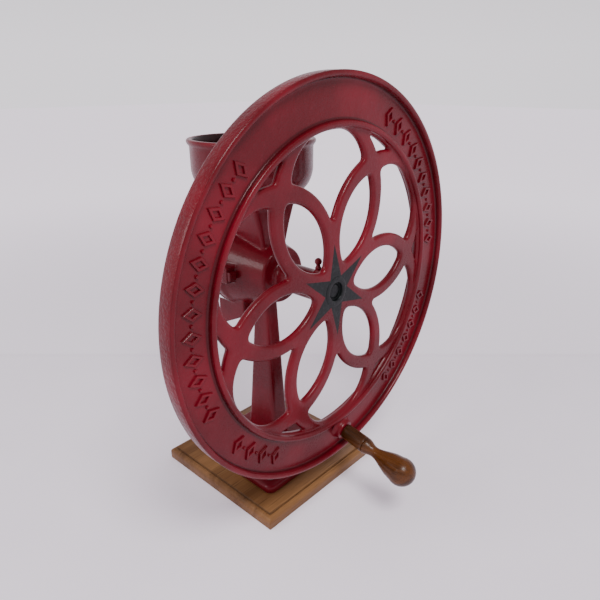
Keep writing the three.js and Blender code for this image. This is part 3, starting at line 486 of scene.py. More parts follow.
def wood(name, light, dark, grain_axis, roughness, ring_scale=34.0, coat=0.15, groove=False):
    """Straight-grained wood, with its grain along one axis of the row. The board's moulding has
    painted shade along the small step round its top."""
    n = material_nodes(name)
    rings = n.noise(ring_scale, 5, 0.6, drawn_out(grain_axis, 0.06), 0.6)
    fibres = n.noise(900, 3, 0.6, drawn_out(grain_axis, 0.06))
    pores = n.noise(420, 2, 0.5, drawn_out(grain_axis, 0.03))
    tone = n.mix(n.ramp(rings, 0.32, 0.7), dark, light)
    tone = n.mix(n.times(n.ramp(fibres, 0.4, 0.75), 0.35), tone, dark)
    tone = n.mix(n.times(n.ramp(pores, 0.62, 0.7), 0.5), tone, darker(dark, 0.4))
    if groove:
        # Painted shade along the step round the board's top.
        tone = n.mix(n.times(groove_shade_mask(n), 0.5), tone, darker(dark, 0.3))
    n.set(
        Base_Color=tone,
        Roughness=n.ramp(fibres, 0.3, 0.8, roughness - 0.05, roughness + 0.1),
        Normal=n.bump(n.plus(fibres, n.times(pores, 0.5)), 0.12),
    )
    n.set(Coat_Weight=coat, Coat_Roughness=0.25, Specular_IOR_Level=0.2)
    return n.owner


GROOVE_INSET = 7.7


def groove_shade_mask(n):
    """1 along the small step round the board's top, where shade is painted."""
    x, y, z = n.axes()
    aside = n.minus(y, row_y(BOARD_Y))
    reach = n.math("MAXIMUM", n.size_of(x), n.size_of(aside))
    away = n.size_of(n.minus(reach, (BOARD_HALF - GROOVE_INSET) * MM))
    line = n.ramp(away, 1.3 * MM, 0.5 * MM)
    return n.times(line, n.ramp(z, row_z(BOARD_TOP - 6), row_z(BOARD_TOP - 4)))


def scratches(n):
    """Fine marks drawn out along the row's y."""
    return n.noise(700, 3, 0.6, (1, 0.15, 1))


def stain_and_painted_shade(n, clean, stain):
    """A metal's colour with a little staining."""
    return n.mix(n.ramp(n.noise(60, 4), 0.4, 0.7), clean, stain)


def metal(name, clean, stain, roughness, grain=0.1):
    """Turned or filed metal with a little staining."""
    n = material_nodes(name)
    scratch = scratches(n)
    n.set(
        Base_Color=stain_and_painted_shade(n, clean, stain),
        Roughness=n.ramp(scratch, 0.3, 0.7, roughness - 0.08, roughness + 0.1),
        Normal=n.bump(scratch, grain),
        Metallic=1.0,
    )
    return n.owner


def painted_shaft():
    """Steel shaft whose front end has the hub's black paint on it."""
    n = material_nodes("shaft_steel")
    y = n.axes()[1]
    paint = n.ramp(y, row_y(SHAFT_SETBACK + 2.5), row_y(SHAFT_SETBACK + 1.5))
    scratch = scratches(n)
    n.set(
        Base_Color=n.mix(paint, stain_and_painted_shade(n, STEEL_BRIGHT, STEEL_STAINED), black_paint(n)),
        Metallic=n.minus(1.0, paint),
        Roughness=n.ramp(scratch, 0.3, 0.7, 0.32, 0.48),
        Normal=n.bump(scratch, 0.15),
        Specular_IOR_Level=0.2,
    )
    return n.owner


ENAMEL = red_enamel("red_enamel")
ENAMEL_STAR = red_enamel("red_enamel_star", star=True)
ENAMEL_BOWL = red_enamel("red_enamel_bowl", bowl=True)
ALONG_X, ALONG_Y = 0, 1
BOARD_WOOD = wood(
    "board_wood", colour(0.24, 0.112, 0.04), colour(0.118, 0.049, 0.0145), ALONG_X,
    roughness=0.5, coat=0.05, groove=True,
)
HANDLE_WOOD = wood(
    "handle_wood", colour(0.115, 0.036, 0.006), colour(0.024, 0.007, 0.0015), ALONG_Y,
    roughness=0.3, ring_scale=60.0,
)
STEEL = metal("steel", STEEL_BRIGHT, STEEL_STAINED, 0.38)
DARK_STEEL = metal("dark_steel", colour(0.12, 0.12, 0.12), colour(0.08, 0.06, 0.05), 0.45)
SHAFT_STEEL = painted_shaft()
BARE_IRON = metal("bare_iron", colour(0.16, 0.155, 0.15), colour(0.12, 0.09, 0.07), 0.55, 0.2)
BRONZE = metal("bronze", colour(0.42, 0.28, 0.12), colour(0.25, 0.15, 0.06), 0.35)

# ---------------------------- flywheel
# A petal's openings and edges are arcs about points beside its middle line.
PETAL_MIDDLE = 92
LEAF_OFFSET = 42.3
LEAF_RADIUS = 69.8
EDGE_OFFSET = 55.2
EDGE_RADIUS = 99.7
BAY_DISTANCE = 136
BAY_RADIUS = 53
BAY_ANGLE = math.radians(5)
RING_RADIUS = 191.0
RING_OVERLAP = 6  # how far the web reaches into the rim
WEB_FRONT = 7.0
WEB_BACK = 16.5
WEB_CROWN = 4.0  # radius of the ribs' rounded edges
HUB_HOLE = 13


def polar(radius, angle):
    return Vector((radius * math.cos(angle), radius * math.sin(angle)))


def rotated(point, angle):
    return Vector((
        point.x * math.cos(angle) - point.y * math.sin(angle),
        point.x * math.sin(angle) + point.y * math.cos(angle),
    ))


def mirrored(point):
    return Vector((point.x, -point.y))


def arc(centre, start, end):
    """A function of t along the short arc from start to end about a centre."""
    radius = (start - centre).length
    first = math.atan2(start.y - centre.y, start.x - centre.x)
    last = math.atan2(end.y - centre.y, end.x - centre.x)
    turn = (last - first + math.pi) % (2 * math.pi) - math.pi
    return lambda t: centre + polar(radius, first + turn * t)


def circles_meet(centre_a, radius_a, centre_b, radius_b):
    """Where two circles cross, left of the line from the first centre to the second."""
    across = centre_b - centre_a
    distance = across.length
    along = (distance ** 2 + radius_a ** 2 - radius_b ** 2) / (2 * distance)
    height = math.sqrt(radius_a ** 2 - along ** 2)
    across.normalize()
    left = Vector((-across.y, across.x))
    return centre_a + across * along + left * height


def rounded_outline(sides, trims, steps=14, corner_steps=6):
    """A closed outline through sides that meet end to end. trims gives, for the corner where
    each side starts, the share that the side before it and the side itself give up."""
    points = []
    count = len(sides)
    for i, side in enumerate(sides):
        following = sides[(i + 1) % count]
        begin = trims[i][1]
        before_end, after_end = trims[(i + 1) % count]
        for k in range(steps + 1):
            points.append(side(begin + (1 - begin - before_end) * k / steps))
        if after_end > 0:
            first, middle, last = side(1 - before_end), side(1), following(after_end)
            for k in range(1, corner_steps):
                t = k / corner_steps
                points.append(first * (1 - t) ** 2 + middle * 2 * t * (1 - t) + last * t ** 2)
    return [p for i, p in enumerate(points) if (p - points[(i + 1) % len(points)]).length > 0.05]


def leaf_opening():
    """The opening inside a petal that lies along +x."""
    reach = math.sqrt(LEAF_RADIUS ** 2 - LEAF_OFFSET ** 2)
    inner = Vector((PETAL_MIDDLE - reach, 0))
    outer = Vector((PETAL_MIDDLE + reach, 0))
    low_side = arc(Vector((PETAL_MIDDLE, LEAF_OFFSET)), inner, outer)
    high_side = arc(Vector((PETAL_MIDDLE, -LEAF_OFFSET)), outer, inner)
    return rounded_outline([low_side, high_side], [(0.06, 0.06), (0.05, 0.05)], 20)


def tip_opening():
    """The small opening between a petal's tip and the rim."""
    low = Vector((PETAL_MIDDLE, -EDGE_OFFSET))
    hub = Vector((0, 0))
    apex = Vector((low.x + math.sqrt(EDGE_RADIUS ** 2 - low.y ** 2), 0))
    below = circles_meet(hub, RING_RADIUS - 2.5, low, EDGE_RADIUS)
    above = mirrored(below)
    sides = [arc(low, apex, below), arc(hub, below, above), arc(mirrored(low), above, apex)]
    return rounded_outline(sides, [(0.1, 0.1), (0.2, 0.1), (0.1, 0.2)], 8, 4)


def bay_opening():
    """The large opening between two petals, its middle line along +x."""
    hub = Vector((0, 0))
    half_turn = math.pi / PETALS
    low = rotated(Vector((PETAL_MIDDLE, -EDGE_OFFSET)), -half_turn)
    inner = Vector((low.x + math.sqrt(EDGE_RADIUS ** 2 - low.y ** 2), 0))
    bay_low = polar(BAY_DISTANCE, -BAY_ANGLE)
    corner_low = circles_meet(bay_low, BAY_RADIUS, low, EDGE_RADIUS)
    rim_low = polar(BAY_DISTANCE + BAY_RADIUS, -BAY_ANGLE)
    sides = [
        arc(low, inner, corner_low),
        arc(bay_low, corner_low, rim_low),
        arc(hub, rim_low, mirrored(rim_low)),
        arc(mirrored(bay_low), mirrored(rim_low), mirrored(corner_low)),
        arc(mirrored(low), mirrored(corner_low), inner),
    ]
    return rounded_outline(sides, [(0.14, 0.14), (0.06, 0.08), (0, 0), (0, 0), (0.08, 0.06)], 14)


def circle(radius, steps):
    return [polar(radius, 2 * math.pi * i / steps) for i in range(steps)]


def web_mesh(outlines):
    """A flat plate with rounded edges inside the first outline, pierced by the others."""
    curve = bpy.data.curves.new("web", "CURVE")
    curve.dimensions = "2D"
    curve.fill_mode = "BOTH"
    curve.extrude = (WEB_BACK - WEB_FRONT) / 2 - WEB_CROWN
    curve.bevel_depth = WEB_CROWN
    curve.bevel_resolution = 3
    curve.offset = -WEB_CROWN
    for points in outlines:
        spline = curve.splines.new("POLY")
        spline.points.add(len(points) - 1)
        for target, point in zip(spline.points, points):
            target.co = (point.x, point.y, 0, 1)
        spline.use_cyclic_u = True
    holder = bpy.data.objects.new("web", curve)
    bpy.context.scene.collection.objects.link(holder)
    mesh = bpy.data.meshes.new_from_object(holder.evaluated_get(bpy.context.evaluated_depsgraph_get()))
    bpy.data.objects.remove(holder)
    return mesh


def wheel_web():
    """The pierced web with its rounded ribs, melted into the hub and the ring."""
    outlines = [circle(RING_RADIUS + RING_OVERLAP, 240), circle(HUB_HOLE, 48)]
    shapes = [(leaf_opening(), 0), (tip_opening(), 0), (bay_opening(), math.pi / PETALS)]
    for petal in range(PETALS):
        for points, offset in shapes:
            angle = PETAL_START + offset + petal * 2 * math.pi / PETALS
            outlines.append([rotated(point, angle) for point in points])
    bm = bmesh.new()
    bm.from_mesh(web_mesh(outlines))
    # The curve's own depth axis becomes y.
    stand = Matrix.Translation((0, (WEB_FRONT + WEB_BACK) / 2, 0)) @ Matrix.Rotation(math.pi / 2, 4, "X")
    bm.transform(stand)
    inner, outer = RING_RADIUS + 0.4, RING_RADIUS + RING_OVERLAP
    add_lathe(bm, [(inner, 5.5), (outer, 5.5), (outer, 19), (inner, 19), (inner, 5.5)], 180)
    add_lathe(bm, [(HUB_HOLE, 8), (22, 8), (23.5, 16), (23.5, 27), (HUB_HOLE, 27), (HUB_HOLE, 8)], 72)
    web = finish_mesh("wheel_web", bm, None)
    cast(web, 1.3, 6)
    web.data.materials.append(ENAMEL_STAR)
    return web


RIM_FLAT = 8.6
RIM_PROFILE = [
    # the bead round the web
    (191, 4.5), (191.4, 3.2), (192.5, 2.2), (193.7, 1.7), (195, 1.5), (196.3, 1.6), (197.3, 2.0),
    (198.0, 2.9), (198.4, 4.2), (198.7, 7.0), (199.2, 8.0), (200.2, 8.5),
    # the flat that carries the ornament
    (202, RIM_FLAT), (220, RIM_FLAT), (236, 8.5),
    # the outer lip
    (238.5, 8.7), (239.6, 8.4), (240.2, 7.6), (240.5, 6.4), (241.0, 3.4), (241.5, 1.5), (242.3, 0.5),
    (243.5, 0.05), (244.8, 0.0), (246, 0.3), (247.0, 0.9), (247.5, 1.9),
    # the tread, and the lip behind it
    (247.5, 10), (247.5, 18.6), (247.1, 19.8), (246.1, 20.5), (241, 20.5), (240, 20.1), (239.2, 18.9),
    (238.6, 17.2),
    # the back of the flat, and the bead behind the web
    (237.4, 16.5), (220, 16.4), (201.5, 16.5), (200, 17.2), (199, 18.9), (198.2, 20.1), (197, 20.5),
    (193.5, 20.5), (192, 20.1), (191.2, 19), (191, 12), (191, 4.5),
]
HUB_BORE = SHAFT_RADIUS + GAP
HUB_PROFILE = [
    # the recess that shows the shaft's end
    (HUB_BORE, 12), (HUB_BORE, 10.7), (11.6, 10.5), (11.9, 10.2), (12, 7.2), (12.4, 6.6), (13, 6.4),
    # the raised ring, then the hub behind the web
    (18.4, 6.4), (19.5, 6.8), (20, 7.6), (20, 12), (20, 14), (23.6, 15), (24, 16), (24, 26.6),
    (23.3, 27.7), (22, 28), (SHAFT_RADIUS + 1, 28), (HUB_BORE, 27.3), (HUB_BORE, 12),
]
CRANK_BOSS_PROFILE = [
    (5.4, -1), (12.6, -1), (13.9, -0.6), (14.5, 0.4), (14.6, 3), (15.2, 5.5), (17.5, 7.4), (18.5, 9),
    (5.4, 9), (5.4, -1),
]


def crank_line():
    """Takes a piece turned about the y axis to the leaning crank line."""
    root = polar(CRANK_RADIUS, CRANK_ANGLE)
    return (
        Matrix.Translation((root.x, 0, root.y))
        @ Matrix.Rotation(-CRANK_ANGLE, 4, "Y")
        @ Matrix.Rotation(CRANK_LEAN, 4, "Z")
    )


ORNAMENT_ARCS = [(129, 205), (216, 243), (303, 346), (363, 428)]  # degrees round the wheel
ORNAMENT_STEP = 6.3
ORNAMENT_RADIUS = 218.5
# levels: a share of the outline's size, and y from the rim's flat
LOZENGE = {
    "sides": 4, "long": 11.5, "wide": 7,
    "levels": [(1.05, 0.4), (1.0, -2.1), (0.93, -2.5), (0.6, -2.5), (0.54, -2.2), (0.5, -0.2)],
}
STUD = {
    "sides": 16, "long": 1.9, "wide": 1.9,
    "levels": [(1.2, 0.4), (1.0, -1.2), (0.8, -1.9), (0.4, -2.2)],
}


def add_ornaments(bm):
    """A plain cast ornament in four stretches of the rim's flat: hollow lozenges and small studs."""
    for first, last in ORNAMENT_ARCS:
        count = round((last - first) / ORNAMENT_STEP)
        for i in range(2 * count - 1):
            shape = STUD if i % 2 else LOZENGE
            angle = math.radians(first + (last - first) * (i / 2 + 0.5) / count)
            place = Matrix.Rotation(-angle, 4, "Y") @ Matrix.Translation((ORNAMENT_RADIUS, RIM_FLAT, 0))
            turns = [2 * math.pi * k / shape["sides"] for k in range(shape["sides"])]
            outline = [(shape["long"] * math.cos(t), shape["wide"] * math.sin(t)) for t in turns]
            rings = []
            for share, y in shape["levels"]:
                rings.append([place @ Vector((share * along, y, share * aside)) for along, aside in outline])
            add_rings(bm, rings, cap_ends=True)


def wheel_rim():
    """The turned rim and hub, and the boss that the crank pin is screwed to."""
    bm = bmesh.new()
    add_lathe(bm, RIM_PROFILE, 288)
    add_lathe(bm, HUB_PROFILE, 96)
    add_lathe(bm, CRANK_BOSS_PROFILE, 64, move=crank_line())
    add_ornaments(bm)
    return finish_mesh("wheel_rim", bm, ENAMEL_STAR)


# ---------------------------- crank handle
PIN_HOLE = 5.1
KNOB_RADIUS = 19.6
KNOB_Y = -98.5


def crank_sleeve():
    """The short turned sleeve next to the wheel."""
    return turned("crank_sleeve_turned", [
        (PIN_HOLE, -1.6), (9.2, -1.6), (10.2, -2.2), (10.6, -3.4), (10.8, -12), (11.1, -22), (11.5, -32),
        (11.6, -34.4), (11.3, -35.5), (10.8, -35.9), (PIN_HOLE, -35.9), (PIN_HOLE, -1.6),
    ], HANDLE_WOOD, 72, move=crank_line())


def crank_grip():
    """The turned grip: a collar, a slim neck and a round knob."""
    profile = [
        (PIN_HOLE, -36.4), (10.8, -36.4), (11.3, -36.8), (11.5, -37.8), (11.3, -40), (10.5, -43), (9.3, -46),
        (8.2, -49), (7.6, -52), (7.5, -54.5), (7.9, -57.5), (9.0, -61.5), (10.7, -66), (12.8, -71.2),
        (14.8, -76.5), (16.6, -82),
    ]
    profile += dome(KNOB_RADIUS, -KNOB_RADIUS, KNOB_Y, -22, 90, 16) + [(0, KNOB_Y - KNOB_RADIUS)]
    return turned("crank_grip_turned", profile, HANDLE_WOOD, 96, sharp_degrees=60, move=crank_line())


# ---------------------------- hopper
HOPPER_SCREW_X = 45
HOPPER_SCREW_HOLE = 2.8
THROAT_MOUTH = (33, 118, 184)  # half width, front and back


def hopper():
    """A round bowl with a rolled rim, open at the floor over the throat."""
    floor, top = HOPPER_LOW.z, HOPPER_HIGH.z
    profile = [
        # outside, from the floor up to the rolled rim
        (0, floor), (57, floor), (58.6, floor + 0.4), (62, floor + 3), (65.5, 108), (69, 111.4), (72, 115),
        (74.2, 118.4), (75.8, 122), (77.1, 125.5), (78, 129), (78.7, 132.5), (79, 136), (79, 160),
        (79.2, 163.4), (80.2, 165), (81.4, 166.3), (82.2, 167.9), (82.4, 169.4), (81.9, 170.8), (80.7, 171.7),
        # inside, back down to the floor
        (79, top), (76.6, top), (75.3, top - 0.6), (74.6, top - 1.8), (74.5, 160), (74.5, 136), (73.3, 129),
        (71, 122), (66.5, 115.5), (59.5, 109.5), (52, floor + 4), (0, floor + 4),
    ]
    bm = bmesh.new()
    add_lathe(bm, profile, 160, upright_at=(0, HOPPER_Y))
    bowl = finish_mesh("hopper_bowl", bm, ENAMEL_BOWL)
    tool = bmesh.new()
    add_tower(tool, [(floor - 1, *THROAT_MOUTH), (floor + 6, *THROAT_MOUTH)], 7)
    for side in (-1, 1):
        place = (side * HOPPER_SCREW_X, HOPPER_Y)
        add_cylinder(tool, HOPPER_SCREW_HOLE, floor - 1, floor + 5, 24, upright_at=place)
    carve(bowl, finish_mesh("tool", tool, None))
    return bowl


# ---------------------------- frame casting
FOOT_BOTTOM = BOARD_TOP + GAP
FOOT_TOP = FOOT_BOTTOM + 12
OIL_PLUG_Y = 37
BELL_BACK = 177
COVER_SEAT = 58.5  # radius of the round seat over the spout that the cover sits in
# The round bodies are profiles of (radius, y), and the spout is drawn from the side, as (y, z).
BELL = [(0, 98), (36, 98), (38, 100), (54.7, 160), (58, 167), (58, BELL_BACK), (0, BELL_BACK)]
BEARING_SLEEVE = [(0, 30), (18.4, 30), (19.4, 31), (19.4, 92), (21, 96), (25, 99), (0, 99)]
# The upright bodies are levels of (z, half width, front, back).
THROAT = [
    (0, 20, 116, 166), (37, 22, 113, 172), (62, 28, 111.6, 180), (87, 35.5, 110, 188),
    (96, 40, 108, 192), (102, 42, 107, 194),
]
THROAT_INSIDE = [(8, 14, 119, 139), (37, 16, 119, 160), (103, *THROAT_MOUTH)]
COLUMN = [
    (FOOT_TOP - 2, 21, 99, 174), (FOOT_TOP + 3, 17.5, 103.5, 169), (FOOT_TOP + 12, 15.6, 106, 167),
    (-200, 14, 111, 160), (-100, 12, 117.3, 151.8), (-45, 11, 120.8, 147), (-25, 11, 121, 147),
]
FOOT = [
    (FOOT_BOTTOM, 84, 48, 216), (FOOT_TOP - 3, 84, 48, 216), (FOOT_TOP - 1, 83, 49, 215),
    (FOOT_TOP, 81, 51, 213),
]
SPOUT_SIDE = [(147.5, -34), (147.5, -66), (201.5, -92.5), (201.5, -46), (BELL_BACK, -46), (BELL_BACK, -34)]
SPOUT_HOLLOW = [(152, -28), (152, -95), (196, -95), (196, -63.5), (173, -63.5), (173, -28)]
SPOUT_HALF_WIDTH = 31
SPOUT_INNER_HALF_WIDTH = 27
BUSHING_HOLE = 12.3
BORES = [  # radius, front, back and segments
    (44.5, 142, 190, 96),  # the burr chamber
    (22, 104, 143, 64),  # the feed screw's bore
    (BUSHING_HOLE, 20, 105, 64),  # the front bushing's seat
    (COVER_SEAT, BELL_BACK, 240, 96),  # the cover's seat
]


def mill_frame():
    """Foot, column, bell-shaped body, throat, outlet and bearing sleeve, as one casting."""
    bm = bmesh.new()
    add_lathe(bm, BELL, 128)
    add_lathe(bm, BEARING_SLEEVE, 72)
    add_cylinder(bm, 4.6, 10, 23, 32, upright_at=(0, OIL_PLUG_Y))
    add_tower(bm, THROAT, 5)
    add_side_plate(bm, SPOUT_SIDE, SPOUT_HALF_WIDTH)
    add_tower(bm, COLUMN, 4.5)
    add_tower(bm, FOOT, 11, 7)
    for side in (-1, 1):
        add_side_block(bm, side, across=(42, 64), along=(140, BELL_BACK), height=(-7, 15))
        add_cylinder(bm, 9, 94, 102, 36, upright_at=(side * HOPPER_SCREW_X, HOPPER_Y))
    body = finish_mesh("frame_casting", bm, None)
    cast(body, 1.6, 5)

    tool = bmesh.new()
    add_tower(tool, THROAT_INSIDE, 5)
    add_side_plate(tool, SPOUT_HOLLOW, SPOUT_INNER_HALF_WIDTH)
    for radius, front, back, segments in BORES:
        add_cylinder(tool, radius, front, back, segments)
    for side in (-1, 1):
        # The lugs end flat where the cover's lugs meet them.
        add_side_block(tool, side, across=(30, 90), along=(BELL_BACK, 200), height=(-20, 30))
    carve(body, finish_mesh("hollow", tool, None))
    body.data.materials.clear()
    body.data.materials.append(ENAMEL)
    return body


# ---------------------------- cover, shaft and fasteners
COVER_RADIUS = 58
COVER_FLANGE = 6.7  # thickness of the cover's plate
COVER_BOSS = 20
COVER_RIB_HALF = 2.6
LUG_X = 57
LUG_Z = 4
LUG_RADIUS = 11
BUSHING_BACK = 192.3
BUTTON_HOLE = 9.8
BUTTON_SEAT = 201
SCREW_HOLE = 5.3
BOLT_RADIUS = 3.5
BOLT_HALF_HEAD = 6
BOLT_HEAD = 5
BOLT_THREAD_FRONT = 186.5
THUMB_FRONT = 219
THUMB_RADIUS = 8
ADJUSTER_RADIUS = 5
PIN_RADIUS = 5


def lug_place(side):
    """The middle of the cover's lug on the left (-1) or right (1)."""
    return Matrix.Translation((side * LUG_X, 0, LUG_Z))


def rear_cover():
    """The round cover with its ribbed boss and two bolt lugs, as one casting."""
    front, back = COVER_LOW.y, COVER_HIGH.y
    plate = front + COVER_FLANGE
    bm = bmesh.new()
    add_lathe(bm, [
        (0, front), (COVER_RADIUS, front), (COVER_RADIUS, plate - 1.6), (COVER_RADIUS - 1.6, plate),
        (29, plate), (25, plate + 1.4), (22.4, plate + 4.5), (21, plate + 9),
        (COVER_BOSS, back - 4), (COVER_BOSS, back - 1.8), (COVER_BOSS - 1.6, back), (0, back),
    ], 128)
    # A rib is high at the boss and falls away towards the bolt circle.
    rib = [(10, plate - 1), (49, plate - 1), (48, plate + 2.6), (24, plate + 5), (10, plate + 5)]
    for quarter in range(4):
        turn = Matrix.Rotation((quarter + 0.5) * math.pi / 2, 4, "Y")
        rings = [[turn @ Vector((x, y, z)) for x, y in rib] for z in (-COVER_RIB_HALF, COVER_RIB_HALF)]
        add_rings(bm, rings, cap_ends=True)
    for side in (-1, 1):
        height = (LUG_Z - LUG_RADIUS, LUG_Z + LUG_RADIUS)
        add_side_block(bm, side, across=(42, LUG_X), along=(front, plate), height=height)
        lug = Matrix.Translation((side * (LUG_X - 4), 0, LUG_Z))
        add_cylinder(bm, LUG_RADIUS, front, plate, 40, move=lug)
    cover = finish_mesh("rear_cover_cast", bm, None)
    cast(cover, 1.1, 4)

    tool = bmesh.new()
    add_lathe(tool, [
        (0, front - 3), (BUSHING_HOLE, front - 3), (BUSHING_HOLE, BUSHING_BACK), (BUTTON_HOLE, BUSHING_BACK),
        (BUTTON_HOLE, BUTTON_SEAT), (SCREW_HOLE, BUTTON_SEAT), (SCREW_HOLE, back - 0.8), (6.2, back + 0.4),
        (6.2, back + 3), (0, back + 3),
    ], 64)
    # The casting's rounded front is cut flat again.
    add_block(tool, (-90, front - 8, -90), (90, front, 90))
    for side in (-1, 1):
        add_cylinder(tool, BOLT_RADIUS + GAP, front + 0.5, back, 32, move=lug_place(side))
    carve(cover, finish_mesh("cover_tool", tool, None))
    cover.data.materials.clear()
    cover.data.materials.append(ENAMEL)
    return cover


def main_shaft():
    """The shaft, with the front end that is painted black along with the hub."""
    low, high = node_box("main_shaft")
    radius = SHAFT_RADIUS
    return turned("shaft_turned", [
        (0, low.y), (radius - 2.2, low.y), (radius - 0.9, low.y + 0.3), (radius, low.y + 1.1),
        (radius, high.y - 0.8), (radius - 0.8, high.y), (0, high.y),
    ], SHAFT_STEEL, 72)


def oil_plug():
    """A stopper with a round knob, pushed into the oil hole."""
    low, high = node_box("oil_plug")
    stem, collar, ball = 2.2, 23.3, 4.65
    profile = [
        (0, low.z), (stem, low.z + 0.6), (stem, collar), (3.8, collar), (4.2, collar + 0.4),
        (4.2, collar + 1.3), (3.8, collar + 1.7), (3.1, collar + 2.6), (2.7, collar + 4),
    ]
    profile += dome(ball, ball, high.z - ball, -55, 90, 14)
    return turned("oil_plug_turned", profile, ENAMEL, 40, upright_at=(0, OIL_PLUG_Y))


def cover_bolt(side, word):
    """A square-headed bolt, painted over with the casting, its thread standing out behind the nut."""
    low, high = node_box(f"cover_bolt_{word}")
    head_back = low.y + BOLT_HEAD
    corner = BOLT_HALF_HEAD * math.sqrt(2)
    place = lug_place(side)
    bm = bmesh.new()
    head = [(corner * 0.86, low.y), (corner, low.y + 1), (corner, head_back)]
    add_prism(bm, head, 4, place, math.pi / 4)
    shank = [(0, head_back - 1), (BOLT_RADIUS, head_back - 1), (BOLT_RADIUS, BOLT_THREAD_FRONT - 0.5)]
    shank += thread(BOLT_RADIUS, BOLT_THREAD_FRONT, high.y) + [(0, high.y)]
    add_lathe(bm, shank, 32, move=place)
    return finish_mesh(f"cover_bolt_{word}_forged", bm, ENAMEL)


def hexagon_nut(name, radius, front, back, place=Matrix.Identity(4)):
    """A dark hexagon nut across the shaft direction."""
    bm = bmesh.new()
    add_prism(bm, nut_levels(radius, front, back), 6, place)
    return finish_mesh(name, bm, DARK_STEEL, 25)


def adjusting_screw():
    """The screw that sets the burrs' gap, with a thumb piece of two round wings."""
    low, high = node_box("adjusting_screw")
    front, radius = THUMB_FRONT, THUMB_RADIUS
    bm = bmesh.new()
    add_lathe(bm, [
        (0, front - 2), (ADJUSTER_RADIUS, front - 2), (7.2, front), (radius, front + 1), (radius, high.y - 2),
        (7.4, high.y - 0.8), (6.2, high.y), (0, high.y),
    ], 48)
    wing = [
        (0, -2.5), (6.6, -2.5), (7.6, -1.9), (radius, -1), (radius, 1), (7.6, 1.9), (6.6, 2.5), (0, 2.5),
    ]
    for side in (-1, 1):
        add_lathe(bm, wing, 48, upright_at=(side * 14, high.y - 6))
    thumb_piece = finish_mesh("thumb_piece", bm, None)
    cast(thumb_piece, 0.6, 4)
    bm = bmesh.new()
    bm.from_mesh(thumb_piece.data)
    bm.transform(FROM_ROW)
    bpy.data.objects.remove(thumb_piece)
    shank = [(0, low.y), (ADJUSTER_RADIUS - 1.5, low.y), (ADJUSTER_RADIUS - 0.4, low.y + 1.3)]
    shank += thread(ADJUSTER_RADIUS, low.y + 2, front - 1) + [(0, front - 1)]
    add_lathe(bm, shank, 40)
    return finish_mesh("adjusting_screw_forged", bm, STEEL)


def crank_fastening():
    """The crank pin with its threaded end, and the washer and nut behind the rim."""
    radius = PIN_RADIUS
    pin = [
        (0, -96), (radius - 1, -96), (radius, -95), (radius, -43), (8, -43), (8, -38), (radius, -38),
        (radius, 19),
    ]
    pin += thread(radius, 19.5, 30.4) + [(radius - 1, 31), (0, 31)]
    hole = radius + GAP
    washer = [(hole, 19.8), (9.6, 19.8), (10, 20.2), (10, 21.4), (9.6, 21.8), (hole, 21.8), (hole, 19.8)]
    return [
        (turned("crank_pin_turned", pin, STEEL, 40, move=crank_line()), "steel", "crank_pin"),
        (turned("crank_washer_turned", washer, STEEL, 48, move=crank_line()), "steel", "crank_pin_washer"),
        (hexagon_nut("crank_nut_cut", 8.5, 22.1, 28.1, crank_line()), "dark_steel", "crank_pin_nut"),
    ]


def middle_of(low, high):
    """The place, seen from above, of an upright piece."""
    return (low.x + high.x) / 2, (low.y + high.y) / 2


def slotted_screw(node, head_radius, head_height, slot_angle, shank):
    """A round-headed wood or machine screw standing on its node's upright axis."""
    low, high = node_box(node)
    place = middle_of(low, high)
    under = high.z - head_height
    edge = 0.8  # upright edge below the head's dome
    profile = [(0, low.z), (shank, low.z + 3), (shank, under), (head_radius, under)]
    profile += dome(head_radius, head_height - edge, under + edge, 0, 90, 8)
    screw = turned(f"{node}_cut", profile, DARK_STEEL, 40, upright_at=place)
    tool = bmesh.new()
    add_block(tool, (-head_radius - 1, -0.6, high.z - 1.5), (head_radius + 1, 0.6, high.z + 1))
    tool.transform(Matrix.Translation((*place, 0)) @ Matrix.Rotation(slot_angle, 4, "Z"))
    carve(screw, finish_mesh("slot", tool, None))
    return screw


def foot_washer(node):
    """A plain steel washer under a foot screw's head."""
    low, high = node_box(node)
    return turned(f"{node}_turned", [
        (3.3, low.z), (8.7, low.z), (9, low.z + 0.3), (9, high.z - 0.4), (8.6, high.z), (3.3, high.z),
        (3.3, low.z),
    ], STEEL, 48, upright_at=middle_of(low, high))


# ---------------------------- board
BOARD_ROUND = 6  # radius of the rounded-over edge


def board():
    """A square board with a small step and a rounded-over edge, drawn as stacked squares."""
    bottom, top = BOARD_LOW.z, BOARD_TOP
    levels = [(1.2, bottom), (0.3, bottom + 0.4), (0, bottom + 1.2), (0, top - 8.6)]
    edge = dome(BOARD_ROUND, BOARD_ROUND, top - 8, 0, 90, 8)
    levels += [(BOARD_ROUND - reach, z) for reach, z in edge]
    levels += [(7.4, top - 2.4), (7.8, top - 2.1), (7.8, top - 0.7), (8.5, top)]
    rings = []
    for inset, z in levels:
        outline = rounded_rectangle(BOARD_HALF - inset, BOARD_HALF - inset, 1.2, 3)
        rings.append([Vector((x, BOARD_Y + y, z)) for x, y in outline])
    bm = bmesh.new()
    add_rings(bm, rings, cap_ends=True)
    return finish_mesh("board_moulded", bm, BOARD_WOOD, 40)


# ---------------------------- assembly


def take_over(piece, body, node):
    """A finer piece stands for a CAD node and moves with its body."""
    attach(piece, body)
    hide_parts(node)


def nut_for(node, name, radius, place=Matrix.Identity(4)):
    """A hexagon nut as long as its CAD node."""
    low, high = node_box(node)
    return hexagon_nut(name, radius, low.y, high.y, place)


